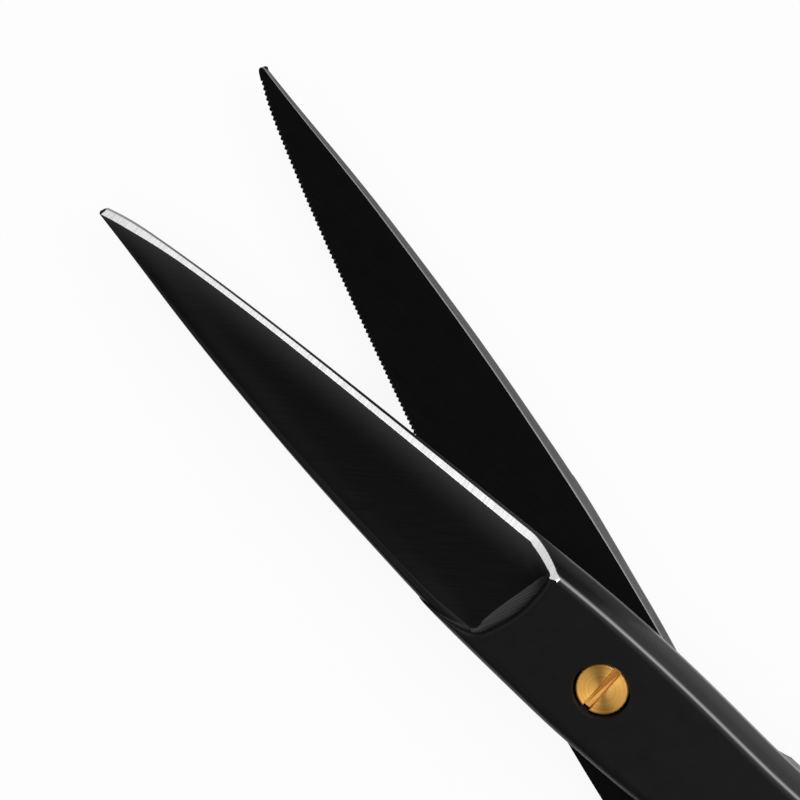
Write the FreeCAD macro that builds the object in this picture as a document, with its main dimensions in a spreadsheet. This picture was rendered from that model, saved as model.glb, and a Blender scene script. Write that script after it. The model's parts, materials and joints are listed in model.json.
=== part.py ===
"""Iris scissors: two forged halves turned over on each other, joined by a slotted screw.

Each half is modelled in its own frame: the pivot axis is Z, the blade points along +X, its spine is at +Y
and its cutting edge at -Y, and the flat inner face lies at z = 0. The lower half is the same form turned
over about X. In the finished frame the underside of the joint is at z = 0 and the pivot is at x = y = 0.
"""
import FreeCAD, Part
import math
import os
from collections import namedtuple

import Sketcher
from FreeCAD import Placement, Rotation, Vector

X_AXIS = Vector(1, 0, 0)
Z_AXIS = Vector(0, 0, 1)
ORIGIN = Vector(0, 0, 0)

# Driving dimensions: alias, value in mm or degrees, meaning
SIZES = [
    ("half_thickness", 2.2, "thickness of one half at the joint"),
    ("opening_angle", 18.42, "angle between the blades as they lie"),
    ("face_gap", 0.02, "inner face below the middle plane, on each half"),
    ("blade_length", 37.26, "pivot to tip"),
    ("tip_round", 0.18, "radius of the tip in plan"),
    ("land_height", 0.15, "upright land under the ground cutting bevel"),
    ("bevel_angle", 50.0, "cutting bevel to the inner face"),
    ("wheel_radius", 60.0, "radius of the hollow grind on the outer face"),
    ("grind_spine_height", 1.80, "outer face height at the spine, at the heel of the blade"),
    ("grind_edge_height", 0.65, "outer face height at the edge, at the heel of the blade"),
    ("grind_tip_height", 0.62, "outer face height near the tip"),
    ("heel_x", 8.0, "where the heel heights of the grind are measured"),
    ("heel_spine_y", 3.1, "where the spine height of the grind is measured"),
    ("heel_edge_y", -2.9, "where the edge height of the grind is measured"),
    ("grind_tip_x", 35.5, "where the tip height of the grind is measured"),
    ("grind_tip_y", -0.1, "where the tip height of the grind is measured"),
    ("step_root_round", 0.45, "run-out of the grind at the foot of its step"),
    ("shoulder_outer_x", -9.0, "outer end of the slanted shoulder where the shank gets its full thickness"),
    ("shoulder_outer_y", -3.60, "outer end of the shoulder"),
    ("shoulder_inner_x", -16.9, "inner end of the shoulder"),
    ("shoulder_inner_y", -0.40, "inner end of the shoulder"),
    ("tooth_pitch", 0.27, "pitch of the micro-serration"),
    ("tooth_depth", 0.11, "depth of the micro-serration"),
    ("tooth_flat", 0.01, "half of the flat that is left between two notches"),
    ("head_diameter", 2.80, "screw head"),
    ("head_height", 0.90, "screw head"),
    ("head_recess", 0.30, "screw head below the outer face"),
    ("head_chamfer", 0.10, "screw head edge"),
    ("head_seat_gap", 0.02, "running gap under the screw head"),
    ("counterbore_diameter", 3.10, "seat of the screw head in the upper half"),
    ("neck_diameter", 2.00, "bearing neck of the screw"),
    ("neck_hole_diameter", 2.08, "running hole in the upper half"),
    ("slot_width", 0.42, "screw slot"),
    ("slot_depth", 0.50, "screw slot"),
    ("slot_angle", -77.4, "screw slot as it stands, from the long axis"),
    ("ring_thickness", 4.0, "finger ring and rear end of the shank"),
    ("ring_round", 1.35, "rounding of the finger ring"),
    ("ring_centre_x", -64.3, "finger ring centre"),
    ("ring_centre_y", -12.2, "finger ring centre"),
    ("ring_long", 27.0, "finger ring outside, long way"),
    ("ring_wide", 23.6, "finger ring outside, short way"),
    ("ring_bow", 3.4, "width of the ring's bow"),
    ("ring_cant", 12.0, "turn of the ring's long axis away from the middle"),
    ("neck_x", -46.0, "where the shank runs into the ring"),
]

# Cross-sections of the forged blank: station along the blade, spine or inner side, edge or outer side,
# heights at the two sides, corner roundings at the two sides, and how far the outer side leans in
Section = namedtuple("Section", "x inner outer inner_top outer_top inner_round outer_round lean")
SECTIONS = [
    Section(37.26, 0.12, -0.14, 0.55, 0.60, 0.04, 0.04, 0.02),
    Section(36.0, 0.30, -0.53, 0.68, 0.70, 0.08, 0.05, 0.04),
    Section(33.5, 0.70, -1.00, 0.90, 0.90, 0.20, 0.06, 0.06),
    Section(30.0, 1.30, -1.46, 1.12, 1.05, 0.32, 0.08, 0.10),
    Section(25.0, 2.02, -1.98, 1.38, 1.25, 0.44, 0.10, 0.16),
    Section(19.0, 2.73, -2.49, 1.60, 1.55, 0.54, 0.12, 0.26),
    Section(13.0, 3.24, -2.96, 1.86, 1.88, 0.66, 0.16, 0.38),
    Section(9.4, 3.47, -3.24, 2.09, 2.12, 0.78, 0.20, 0.46),
    Section(6.6, 3.60, -3.45, 2.18, 2.19, 0.86, 0.21, 0.50),
    Section(3.0, 3.69, -3.68, 2.20, 2.20, 0.90, 0.22, 0.52),
    Section(0.5, 3.71, -3.76, 2.20, 2.20, 0.90, 0.22, 0.53),
    Section(-2.0, 3.64, -3.78, 2.20, 2.20, 0.90, 0.22, 0.54),
    Section(-6.0, 3.38, -3.68, 2.20, 2.20, 0.90, 0.22, 0.52),
    Section(-9.0, 2.78, -3.57, 2.20, 2.20, 0.90, 0.24, 0.50),
    Section(-12.0, 1.80, -3.56, 2.20, 2.20, 0.90, 0.27, 0.48),
    Section(-15.0, 0.68, -3.66, 2.20, 2.20, 0.92, 0.32, 0.46),
    Section(-18.0, -0.25, -3.90, 2.20, 2.20, 0.95, 0.40, 0.42),
    Section(-21.0, -0.82, -4.28, 2.19, 2.19, 1.00, 0.52, 0.37),
    Section(-25.0, -1.20, -4.78, 2.16, 2.16, 1.06, 0.70, 0.29),
    Section(-31.0, -1.42, -5.18, 2.11, 2.11, 1.16, 0.95, 0.18),
    Section(-36.0, -1.43, -5.38, 2.06, 2.06, 1.24, 1.13, 0.10),
    Section(-40.0, -1.38, -5.47, 2.03, 2.03, 1.30, 1.25, 0.05),
    Section(-43.0, -1.31, -5.48, 2.01, 2.01, 1.33, 1.31, 0.02),
    Section(-45.0, -1.25, -5.46, 2.00, 2.00, 1.35, 1.34, 0.01),
    Section(-46.0, -1.22, -5.45, 2.00, 2.00, 1.35, 1.35, 0.00),
]

# Plan of the ground outer face where it ends at the joint: a slanted step with one round corner
STEP_EDGE_SIDE = Vector(6.08, -2.90, 0)
STEP_SPINE_SIDE = Vector(6.62, 1.75, 0)
STEP_CORNER_MID = Vector(7.00, 2.62, 0)
STEP_CORNER_END = Vector(7.85, 2.98, 0)
STEP_RUN_OUT = Vector(10.5, 4.30, 0)

# Cutting bevel: station, and lift of the grinding line where it runs out at the joint
BEVEL_STATIONS = [(5.2, 2.2), (5.7, 1.45), (6.1, 1.05), (6.5, 0.68), (7.15, 0.25), (8.1, 0.0), (11.0, 0.0),
                  (16.0, 0.0), (22.0, 0.0), (28.0, 0.0), (32.0, 0.0), (35.0, 0.0), (37.0, 0.0)]

# Reach of the bevel's cut outwards and inwards from the edge
BEVEL_OUTWARD = 1.0
BEVEL_INWARD = 2.0

# First and last station of the micro-serration
SERRATION_FROM = 9.2
SERRATION_TO = 36.6

doc = FreeCAD.newDocument("iris_scissors")
sheet = doc.addObject("Spreadsheet::Sheet", "Sizes")
for row, (alias, value, meaning) in enumerate(SIZES, start=1):
    sheet.set(f"A{row}", alias)
    sheet.set(f"B{row}", str(value))
    sheet.set(f"C{row}", meaning)
    sheet.setAlias(f"B{row}", alias)
doc.recompute()


def size(alias):
    """Value of one driving dimension."""
    return float(sheet.get(alias))


def sine(degrees):
    return math.sin(math.radians(degrees))


def cosine(degrees):
    return math.cos(math.radians(degrees))


def origin_plane(body, role):
    """One of the body's own origin planes."""
    return next(plane for plane in body.Origin.OriginFeatures if plane.Role == role)


def add_sketch(body, name, geometry, role="XY_Plane", offset=0.0):
    """A sketch on one of the body's planes, moved along the plane's normal."""
    sketch = body.newObject("Sketcher::SketchObject", name)
    sketch.AttachmentSupport = [(origin_plane(body, role), "")]
    sketch.MapMode = "FlatFace"
    sketch.AttachmentOffset = Placement(Vector(0, 0, offset), Rotation())
    sketch.addGeometry(geometry, False)
    return sketch


def polygon(points):
    """Closed outline of straight lines."""
    return [Part.LineSegment(a, b) for a, b in zip(points, points[1:] + points[:1])]


def rounded_polygon(corners):
    """Closed outline of straight lines with arcs at the corners that have a radius."""
    trimmed = []
    for index, (corner, radius) in enumerate(corners):
        before = (corners[index - 1][0] - corner).normalize()
        after = (corners[(index + 1) % len(corners)][0] - corner).normalize()
        half_angle = before.getAngle(after) / 2
        reach = radius / math.tan(half_angle)
        to_centre = (before + after).normalize() * (radius / math.sin(half_angle)) if radius else ORIGIN
        middle = corner + to_centre - to_centre.normalize() * radius if radius else corner
        trimmed.append((corner + before * reach, middle, corner + after * reach, radius))
    outline = []
    for index, (start, middle, end, radius) in enumerate(trimmed):
        if radius:
            outline.append(Part.Arc(start, middle, end))
        outline.append(Part.LineSegment(end, trimmed[(index + 1) % len(trimmed)][0]))
    return outline


def section_outline(section):
    """Forging section seen along the blade: flat top, drafted outer side, upright rounded inner side."""
    apex = Vector(section.outer, 0, 0)
    ridge = Vector(section.outer + section.lean, section.outer_top, 0)
    shoulder = Vector(section.inner, section.inner_top, 0)
    low_shoulder = Vector(shoulder.x, -shoulder.y, 0)
    low_ridge = Vector(ridge.x, -ridge.y, 0)
    return rounded_polygon([
        (apex, 0.0),
        (ridge, section.outer_round),
        (shoulder, section.inner_round),
        (low_shoulder, section.inner_round),
        (low_ridge, section.outer_round),
    ])


def edge_line():
    """Cutting edge in plan, from the joint to the tip."""
    stations = [section for section in SECTIONS if section.x > 0]
    curve = Part.BSplineCurve()
    curve.interpolate([Vector(section.x, section.outer, 0) for section in reversed(stations)])
    return curve


def ring_point(long_half, wide_half, degrees):
    """Point and direction on an oval about the ring's centre; 0 degrees is the far end."""
    centre = Vector(size("ring_centre_x"), size("ring_centre_y"), 0)
    along = Vector(-cosine(size("ring_cant")), -sine(size("ring_cant")), 0)
    across = Vector(sine(size("ring_cant")), -cosine(size("ring_cant")), 0)
    point = centre + along * (long_half * cosine(degrees)) + across * (wide_half * sine(degrees))
    direction = along * (-long_half * sine(degrees)) + across * (wide_half * cosine(degrees))
    return point, direction


def ring_oval(long_half, wide_half):
    """Whole oval about the ring's centre."""
    centre = Vector(size("ring_centre_x"), size("ring_centre_y"), 0)
    long_end, _ = ring_point(long_half, wide_half, 0)
    wide_end, _ = ring_point(long_half, wide_half, 90)
    return Part.Ellipse(long_end, wide_end, centre)


def blend_curve(start, start_direction, end, end_direction):
    """Smooth run between two points, tangent at both."""
    curve = Part.BSplineCurve()
    reach = (end - start).Length
    curve.interpolate(
        Points=[start, end],
        InitialTangent=start_direction.normalize() * reach,
        FinalTangent=end_direction.normalize() * reach,
    )
    return curve


def ring_outline():
    """Plan of the finger ring with its opening and the neck where the shank runs in."""
    neck = SECTIONS[-1]
    inner_neck = Vector(neck.x, neck.inner, 0)
    outer_neck = Vector(neck.x, neck.outer, 0)
    long_half = size("ring_long") / 2
    wide_half = size("ring_wide") / 2
    inner_start, inner_direction = ring_point(long_half, wide_half, -105)
    outer_end, outer_direction = ring_point(long_half, wide_half, 152)
    oval = ring_oval(long_half, wide_half)
    first = oval.parameter(inner_start)
    last = oval.parameter(outer_end)
    bow = size("ring_bow")
    return [
        blend_curve(inner_neck, Vector(-1, 0.035, 0), inner_start, inner_direction),
        Part.ArcOfEllipse(oval, first, last),
        blend_curve(outer_end, outer_direction, outer_neck, Vector(1, 0, 0)),
        Part.LineSegment(outer_neck, inner_neck),
        ring_oval(long_half - bow, wide_half - bow),
    ]


def add_finger_ring(body):
    """Oval ring of rounded section at the end of the shank."""
    ring = body.newObject("PartDesign::Pad", "Ring")
    ring.Profile = add_sketch(body, "RingPlan", ring_outline())
    ring.Midplane = True
    ring.setExpression("Length", "Sizes.ring_thickness")
    doc.recompute()
    half = size("ring_thickness") / 2
    neck_x = size("neck_x")
    rims = []
    for number, edge in enumerate(ring.Shape.Edges, start=1):
        box = edge.BoundBox
        level = abs(abs(box.Center.z) - half) < 1e-4 and box.ZLength < 1e-4
        if level and abs(box.Center.x - neck_x) > 1e-3:
            rims.append(f"Edge{number}")
    rounding = body.newObject("PartDesign::Fillet", "RingRounding")
    rounding.Base = (ring, rims)
    rounding.setExpression("Radius", "Sizes.ring_round")
    doc.recompute()


def add_blank(body):
    """Forged blank from the tip to the neck, lofted through its cross-sections."""
    sketches = []
    for number, section in enumerate(SECTIONS, start=1):
        sketch = add_sketch(body, f"Section{number}", section_outline(section), "YZ_Plane", section.x)
        sketches.append(sketch)
    blank = body.newObject("PartDesign::AdditiveLoft", "Blank")
    blank.Profile = sketches[-1]
    blank.Sections = sketches[-2::-1]
    blank.Ruled = False
    doc.recompute()


def cut_half_lap(body):
    """Clears the other half's room below the inner face, up to the slanted shoulder."""
    outer_end = Vector(size("shoulder_outer_x"), size("shoulder_outer_y"), 0)
    inner_end = Vector(size("shoulder_inner_x"), size("shoulder_inner_y"), 0)
    run = inner_end - outer_end
    beyond_edge = outer_end - run / 2
    beyond_spine = inner_end + run * 2
    past_tip = size("blade_length") + 3
    sketch = add_sketch(body, "LapPlan", polygon([
        beyond_edge,
        Vector(past_tip, beyond_edge.y, 0),
        Vector(past_tip, beyond_spine.y, 0),
        beyond_spine,
    ]))
    sketch.setExpression("AttachmentOffset.Base.z", "Sizes.face_gap")
    lap = body.newObject("PartDesign::Pocket", "HalfLap")
    lap.Profile = sketch
    lap.Reversed = False
    lap.setExpression("Length", "Sizes.half_thickness * 2")
    doc.recompute()


def edge_at(x):
    """Cutting edge's place across the blade at one station."""
    reach = size("ring_wide")
    across = Part.makeLine(Vector(x, -reach, 0), Vector(x, reach, 0))
    _, pairs, _ = edge_line().toShape().distToShape(across)
    return pairs[0][0].y


def round_tip(body):
    """Rounds the tip in plan."""
    radius = size("tip_round")
    tip = SECTIONS[0]
    centre = Vector(tip.x - radius, (tip.inner + tip.outer) / 2, 0)
    end = centre + Vector(radius, 0, 0)
    side = Vector(0, radius, 0)
    clear = radius * 5
    outline = [
        Part.Arc(centre + side, end, centre - side),
        Part.LineSegment(centre - side, centre - side * 5),
        Part.LineSegment(centre - side * 5, end + Vector(clear, -clear, 0)),
        Part.LineSegment(end + Vector(clear, -clear, 0), end + Vector(clear, clear, 0)),
        Part.LineSegment(end + Vector(clear, clear, 0), centre + side * 5),
        Part.LineSegment(centre + side * 5, centre + side),
    ]
    rounding = body.newObject("PartDesign::Pocket", "TipRounding")
    rounding.Profile = add_sketch(body, "TipPlan", outline, offset=size("half_thickness"))
    rounding.setExpression("Length", "Sizes.half_thickness * 2")
    doc.recompute()


def cut_bevel(body):
    """Grinds the cutting bevel along the edge, with its run-out at the joint."""
    rise = math.tan(math.radians(size("bevel_angle")))
    sketches = []
    for number, (x, lift) in enumerate(BEVEL_STATIONS, start=1):
        y = edge_at(x)
        base = size("land_height") + lift
        outline = polygon([
            Vector(y - BEVEL_OUTWARD, base - BEVEL_OUTWARD * rise, 0),
            Vector(y + BEVEL_INWARD, base + BEVEL_INWARD * rise, 0),
            Vector(y - BEVEL_OUTWARD, base + BEVEL_INWARD * rise, 0),
        ])
        sketches.append(add_sketch(body, f"Bevel{number}", outline, "YZ_Plane", x))
    bevel = body.newObject("PartDesign::SubtractiveLoft", "CuttingBevel")
    bevel.Profile = sketches[0]
    bevel.Sections = sketches[1:]
    doc.recompute()


def cut_serration(body):
    """Row of small V notches along the cutting edge."""
    curve = edge_line()
    depth = size("tooth_depth")
    half_mouth = size("tooth_pitch") / 2 - size("tooth_flat")
    outside = size("tooth_flat")
    notches = []
    for point in curve.toShape().discretize(Distance=size("tooth_pitch")):
        if not SERRATION_FROM < point.x < SERRATION_TO:
            continue
        along = curve.tangent(curve.parameter(point))[0]
        inward = Z_AXIS.cross(along)
        if inward.y < 0:
            inward = inward * -1
        mouth = point - inward * outside
        notches += polygon([mouth - along * half_mouth, point + inward * depth, mouth + along * half_mouth])
    teeth = body.newObject("PartDesign::Pocket", "Serration")
    teeth.Profile = add_sketch(body, "Teeth", notches, offset=size("half_thickness") / 2)
    teeth.setExpression("Length", "Sizes.half_thickness")
    doc.recompute()


def add_circle_sketch(body, name, diameter_alias, offset=0.0):
    """A circle about the pivot, its diameter bound to the sheet."""
    circle = Part.Circle(ORIGIN, Z_AXIS, size(diameter_alias) / 2)
    sketch = add_sketch(body, name, [circle], offset=offset)
    sketch.addConstraint(Sketcher.Constraint("Coincident", 0, 3, -1, 1))
    sketch.addConstraint(Sketcher.Constraint("Diameter", 0, size(diameter_alias)))
    sketch.setExpression("Constraints[1]", f"Sizes.{diameter_alias}")
    return sketch


def cut_screw_hole(body, counterbored):
    """Through hole at the pivot, with the screw head's seat on the upper half."""
    hole = body.newObject("PartDesign::Pocket", "ScrewHole")
    alias = "neck_hole_diameter" if counterbored else "neck_diameter"
    above = size("half_thickness") + 1
    hole.Profile = add_circle_sketch(body, "ScrewHolePlan", alias, offset=above)
    hole.Length = above + 1
    if counterbored:
        seat = body.newObject("PartDesign::Pocket", "HeadSeat")
        seat.Profile = add_circle_sketch(body, "HeadSeatPlan", "counterbore_diameter", offset=above)
        seat.setExpression("Length", "1 + Sizes.head_recess + Sizes.head_height + Sizes.head_seat_gap")
    doc.recompute()


def add_grinding_wheel(name):
    """What the grinding wheel takes off the outer face: a wide cylinder within the step's plan."""
    spine = Vector(size("heel_x"), size("heel_spine_y"), size("grind_spine_height"))
    edge = Vector(size("heel_x"), size("heel_edge_y"), size("grind_edge_height"))
    tip = Vector(size("grind_tip_x"), size("grind_tip_y"), size("grind_tip_height"))
    middle = (spine + edge) * 0.5
    along = (tip - middle).normalize()
    upward = along.cross(spine - edge).normalize()
    half_chord = (spine - edge).Length / 2
    radius = size("wheel_radius")
    sag = half_chord ** 2 / (2 * radius)
    wheel = doc.addObject("Part::Cylinder", f"{name}_wheel")
    wheel.setExpression("Radius", "Sizes.wheel_radius")
    wheel.setExpression("Height", "Sizes.wheel_radius")
    seam_on_top = Rotation(Z_AXIS, along).multiply(Rotation(Z_AXIS, 180))
    wheel.Placement = Placement(middle + upward * (radius - sag) - along * radius / 4, seam_on_top)

    slant = (STEP_SPINE_SIDE - STEP_EDGE_SIDE).normalize()
    outside = STEP_EDGE_SIDE - slant * 3
    past_tip = size("blade_length") + 3
    plan = doc.addObject("Sketcher::SketchObject", f"{name}_step_plan")
    plan.addGeometry([
        Part.LineSegment(outside, STEP_SPINE_SIDE),
        Part.Arc(STEP_SPINE_SIDE, STEP_CORNER_MID, STEP_CORNER_END),
        Part.LineSegment(STEP_CORNER_END, STEP_RUN_OUT),
        Part.LineSegment(STEP_RUN_OUT, Vector(past_tip, STEP_RUN_OUT.y, 0)),
        Part.LineSegment(Vector(past_tip, STEP_RUN_OUT.y, 0), Vector(past_tip, outside.y, 0)),
        Part.LineSegment(Vector(past_tip, outside.y, 0), outside),
    ], False)
    room = doc.addObject("Part::Extrusion", f"{name}_step_room")
    room.Base = plan
    room.DirMode = "Normal"
    room.LengthFwd = size("half_thickness") * 2
    room.Solid = True
    swarf = doc.addObject("Part::Common", f"{name}_swarf")
    swarf.Base = wheel
    swarf.Tool = room
    doc.recompute()
    root_edges = []
    for number, edge in enumerate(swarf.Shape.Edges, start=1):
        box = edge.BoundBox
        if box.XLength > 0.1 and box.ZMax < room.LengthFwd.Value - 0.1 and box.XMin < STEP_CORNER_END.x + 0.1:
            root_edges.append(number)
    return add_rounding(f"{name}_swarf_rounded", swarf, root_edges, size("step_root_round"))


def add_rounding(name, base, edge_numbers, radius):
    """Rounds some edges of an object."""
    rounding = doc.addObject("Part::Fillet", name)
    rounding.Base = base
    rounding.Edges = [(number, radius, radius) for number in edge_numbers]
    doc.recompute()
    return rounding


def make_half(name, serrated):
    """One half of the scissors, in its own frame."""
    body = doc.addObject("PartDesign::Body", f"{name}_forging")
    add_finger_ring(body)
    add_blank(body)
    cut_half_lap(body)
    round_tip(body)
    cut_bevel(body)
    if serrated:
        cut_serration(body)
    cut_screw_hole(body, counterbored=not serrated)
    half = doc.addObject("Part::Cut", name)
    half.Label = name
    half.Refine = False
    half.Base = body
    half.Tool = add_grinding_wheel(name)
    doc.recompute()
    return half


def make_screw():
    """Slotted screw: head, plain neck and end, turned about the pivot axis."""
    body = doc.addObject("PartDesign::Body", "pivot_screw")
    body.Label = "pivot_screw"
    head = size("head_diameter") / 2
    neck = size("neck_diameter") / 2
    chamfer = size("head_chamfer")
    top = size("half_thickness") - size("head_recess")
    seat = top - size("head_height")
    low = -size("half_thickness")
    profile = polygon([
        Vector(0, low, 0),
        Vector(neck - chamfer * 2, low, 0),
        Vector(neck, low + chamfer * 2, 0),
        Vector(neck, seat, 0),
        Vector(head, seat, 0),
        Vector(head, top - chamfer, 0),
        Vector(head - chamfer, top, 0),
        Vector(0, top, 0),
    ])
    turned = body.newObject("PartDesign::Revolution", "Turned")
    turned.Profile = add_sketch(body, "TurnedProfile", profile, "XZ_Plane")
    turned.ReferenceAxis = (turned.Profile[0], ["V_Axis"])
    turned.Angle = 360
    doc.recompute()
    half_width = size("slot_width") / 2
    along = Vector(cosine(size("slot_angle")), sine(size("slot_angle")), 0)
    across = Vector(-along.y, along.x, 0)
    half_length = size("head_diameter")
    slot_plan = polygon([
        along * half_length + across * half_width,
        along * -half_length + across * half_width,
        along * -half_length - across * half_width,
        along * half_length - across * half_width,
    ])
    slot = body.newObject("PartDesign::Pocket", "Slot")
    slot.Profile = add_sketch(body, "SlotPlan", slot_plan, offset=top)
    slot.setExpression("Length", "Sizes.slot_depth")
    doc.recompute()
    return body


upper_half = make_half("upper_half", serrated=False)
lower_half = make_half("lower_half", serrated=True)
pivot_screw = make_screw()

half_opening = size("opening_angle") / 2
lift = Vector(0, 0, size("half_thickness"))
upper_half.Placement = Placement(lift, Rotation(Z_AXIS, half_opening))
turned_over = Rotation(Z_AXIS, -half_opening).multiply(Rotation(X_AXIS, 180))
lower_half.Placement = Placement(lift, turned_over)
pivot_screw.Placement = Placement(lift, Rotation())
doc.recompute()

for item in doc.Objects:
    if "Invalid" in item.State or "Error" in item.State:
        raise RuntimeError(f"{item.Name} failed: {item.State}")

os.makedirs("parts", exist_ok=True)
for part in (upper_half, lower_half, pivot_screw):
    if part.Shape.isNull() or not part.Shape.isValid():
        raise RuntimeError(f"{part.Label} has no valid shape")
    part.Shape.exportStep(f"parts/{part.Label}.step")
    print(part.Label, len(part.Shape.Solids), len(part.Shape.Faces), round(part.Shape.Volume, 2))
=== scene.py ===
"""Looks of the iris scissors: two black coated halves with a bright ground edge, and a gold slotted screw.

Each half is meshed in its own frame, in millimetres: the pivot axis is Z, the blade points along +X, its spine
is at +Y, its cutting edge at -Y and its inner face just above z = 0. Then it is turned to its place.
"""

import json
import logging
import math
from dataclasses import dataclass, field
from enum import Enum, IntEnum

import bmesh
import bpy
import numpy as np
from mathutils import Matrix, Quaternion, Vector


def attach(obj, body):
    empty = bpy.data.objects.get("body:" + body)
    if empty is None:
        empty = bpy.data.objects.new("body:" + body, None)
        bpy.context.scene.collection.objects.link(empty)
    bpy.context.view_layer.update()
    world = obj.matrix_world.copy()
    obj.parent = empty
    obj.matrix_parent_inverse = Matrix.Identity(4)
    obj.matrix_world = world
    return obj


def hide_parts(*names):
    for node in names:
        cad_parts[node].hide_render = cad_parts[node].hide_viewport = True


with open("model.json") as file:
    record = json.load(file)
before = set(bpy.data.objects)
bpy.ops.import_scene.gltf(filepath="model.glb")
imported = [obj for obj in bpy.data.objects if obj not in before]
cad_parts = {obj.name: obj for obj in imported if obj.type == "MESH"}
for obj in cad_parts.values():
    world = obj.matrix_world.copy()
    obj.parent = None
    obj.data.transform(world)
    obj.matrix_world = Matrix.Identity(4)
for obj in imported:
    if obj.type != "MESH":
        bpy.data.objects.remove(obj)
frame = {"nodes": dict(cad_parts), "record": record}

LOG = logging.getLogger("iris_scissors")
MM = 0.001
HALF_OPENING = 9.21
HALF_THICKNESS = 2.2
MAP_UNIT = 10.0
SMOOTH_ANGLE = 32.0
SETTLING_ROUNDS = 30


class Zone(Enum):
    """Surfaces of a half that have a finish of their own."""

    FORGED = 0
    GROUND_FACE = 1
    CUTTING_BEVEL = 2
    INNER_FACE = 3
    RUN_OUT = 4


class Stretch(IntEnum):
    """Stretches of the cross-section, from the edge over the top to the spine."""

    SIDE = 0
    SIDE_CORNER = 1
    BEVEL = 2
    BEVEL_CORNER = 3
    FACE = 4
    SPINE_CORNER = 5
    SPINE = 6


@dataclass(frozen=True)
class Station:
    """Cross-section of the forging at one place along the blade, in millimetres."""

    x: float
    spine: float
    edge: float
    spine_top: float
    edge_top: float
    spine_round: float
    edge_round: float
    lean: float


STATIONS = (
    Station(37.26, 0.12, -0.14, 0.55, 0.60, 0.04, 0.04, 0.02),
    Station(36.0, 0.30, -0.53, 0.68, 0.70, 0.08, 0.05, 0.04),
    Station(33.5, 0.70, -1.00, 0.90, 0.90, 0.16, 0.06, 0.06),
    Station(30.0, 1.30, -1.46, 1.12, 1.05, 0.24, 0.08, 0.10),
    Station(25.0, 2.02, -1.98, 1.38, 1.25, 0.34, 0.10, 0.16),
    Station(19.0, 2.73, -2.49, 1.60, 1.55, 0.44, 0.12, 0.26),
    Station(13.0, 3.24, -2.96, 1.86, 1.88, 0.55, 0.16, 0.38),
    Station(9.4, 3.47, -3.24, 2.09, 2.12, 0.66, 0.20, 0.46),
    Station(6.6, 3.60, -3.45, 2.18, 2.19, 0.84, 0.27, 0.50),
    Station(3.0, 3.69, -3.68, 2.20, 2.20, 0.90, 0.32, 0.52),
    Station(0.5, 3.71, -3.76, 2.20, 2.20, 0.90, 0.33, 0.53),
    Station(-2.0, 3.64, -3.78, 2.20, 2.20, 0.90, 0.33, 0.54),
    Station(-6.0, 3.38, -3.68, 2.20, 2.20, 0.90, 0.32, 0.52),
    Station(-9.0, 2.78, -3.57, 2.20, 2.20, 0.90, 0.34, 0.50),
    Station(-12.0, 1.80, -3.56, 2.20, 2.20, 0.90, 0.35, 0.48),
    Station(-15.0, 0.68, -3.66, 2.20, 2.20, 0.92, 0.37, 0.46),
    Station(-18.0, -0.25, -3.90, 2.20, 2.20, 0.95, 0.40, 0.42),
    Station(-21.0, -0.82, -4.28, 2.19, 2.19, 1.00, 0.52, 0.37),
    Station(-25.0, -1.20, -4.78, 2.16, 2.16, 1.06, 0.70, 0.29),
    Station(-31.0, -1.42, -5.18, 2.11, 2.11, 1.16, 0.95, 0.18),
    Station(-36.0, -1.43, -5.38, 2.06, 2.06, 1.24, 1.13, 0.10),
    Station(-40.0, -1.38, -5.47, 2.03, 2.03, 1.30, 1.25, 0.05),
    Station(-43.0, -1.31, -5.48, 2.01, 2.01, 1.33, 1.31, 0.02),
    Station(-46.0, -1.22, -5.45, 2.00, 2.00, 1.35, 1.35, 0.00),
)


class Curve:
    """Smooth curve through points, as a natural cubic spline."""

    def __init__(self, xs: list[float], ys: list[float]) -> None:
        """Works out the spline.

        Args:
            xs: Places, in rising order.
            ys: Values at these places.
        """
        self.x = np.array(xs, float)
        self.y = np.array(ys, float)
        count = len(xs)
        step = np.diff(self.x)
        slope = np.diff(self.y) / step
        matrix = np.eye(count)
        right = np.zeros(count)
        for i in range(1, count - 1):
            matrix[i, i - 1:i + 2] = (step[i - 1], 2 * (step[i - 1] + step[i]), step[i])
            right[i] = 6 * (slope[i] - slope[i - 1])
        self.bend = np.linalg.solve(matrix, right)

    def __call__(self, at: np.ndarray) -> np.ndarray:
        """Values of the curve.

        Args:
            at: Places on the curve.

        Returns:
            The values there.
        """
        at = np.clip(at, self.x[0], self.x[-1])
        i = np.clip(np.searchsorted(self.x, at) - 1, 0, len(self.x) - 2)
        width = self.x[i + 1] - self.x[i]
        a = (self.x[i + 1] - at) / width
        b = 1 - a
        bend = ((a ** 3 - a) * self.bend[i] + (b ** 3 - b) * self.bend[i + 1]) * width ** 2 / 6
        return a * self.y[i] + b * self.y[i + 1] + bend


def smooth_step(value: np.ndarray) -> np.ndarray:
    """Eases a value between 0 and 1."""
    value = np.clip(value, 0, 1)
    return value * value * (3 - 2 * value)


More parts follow.
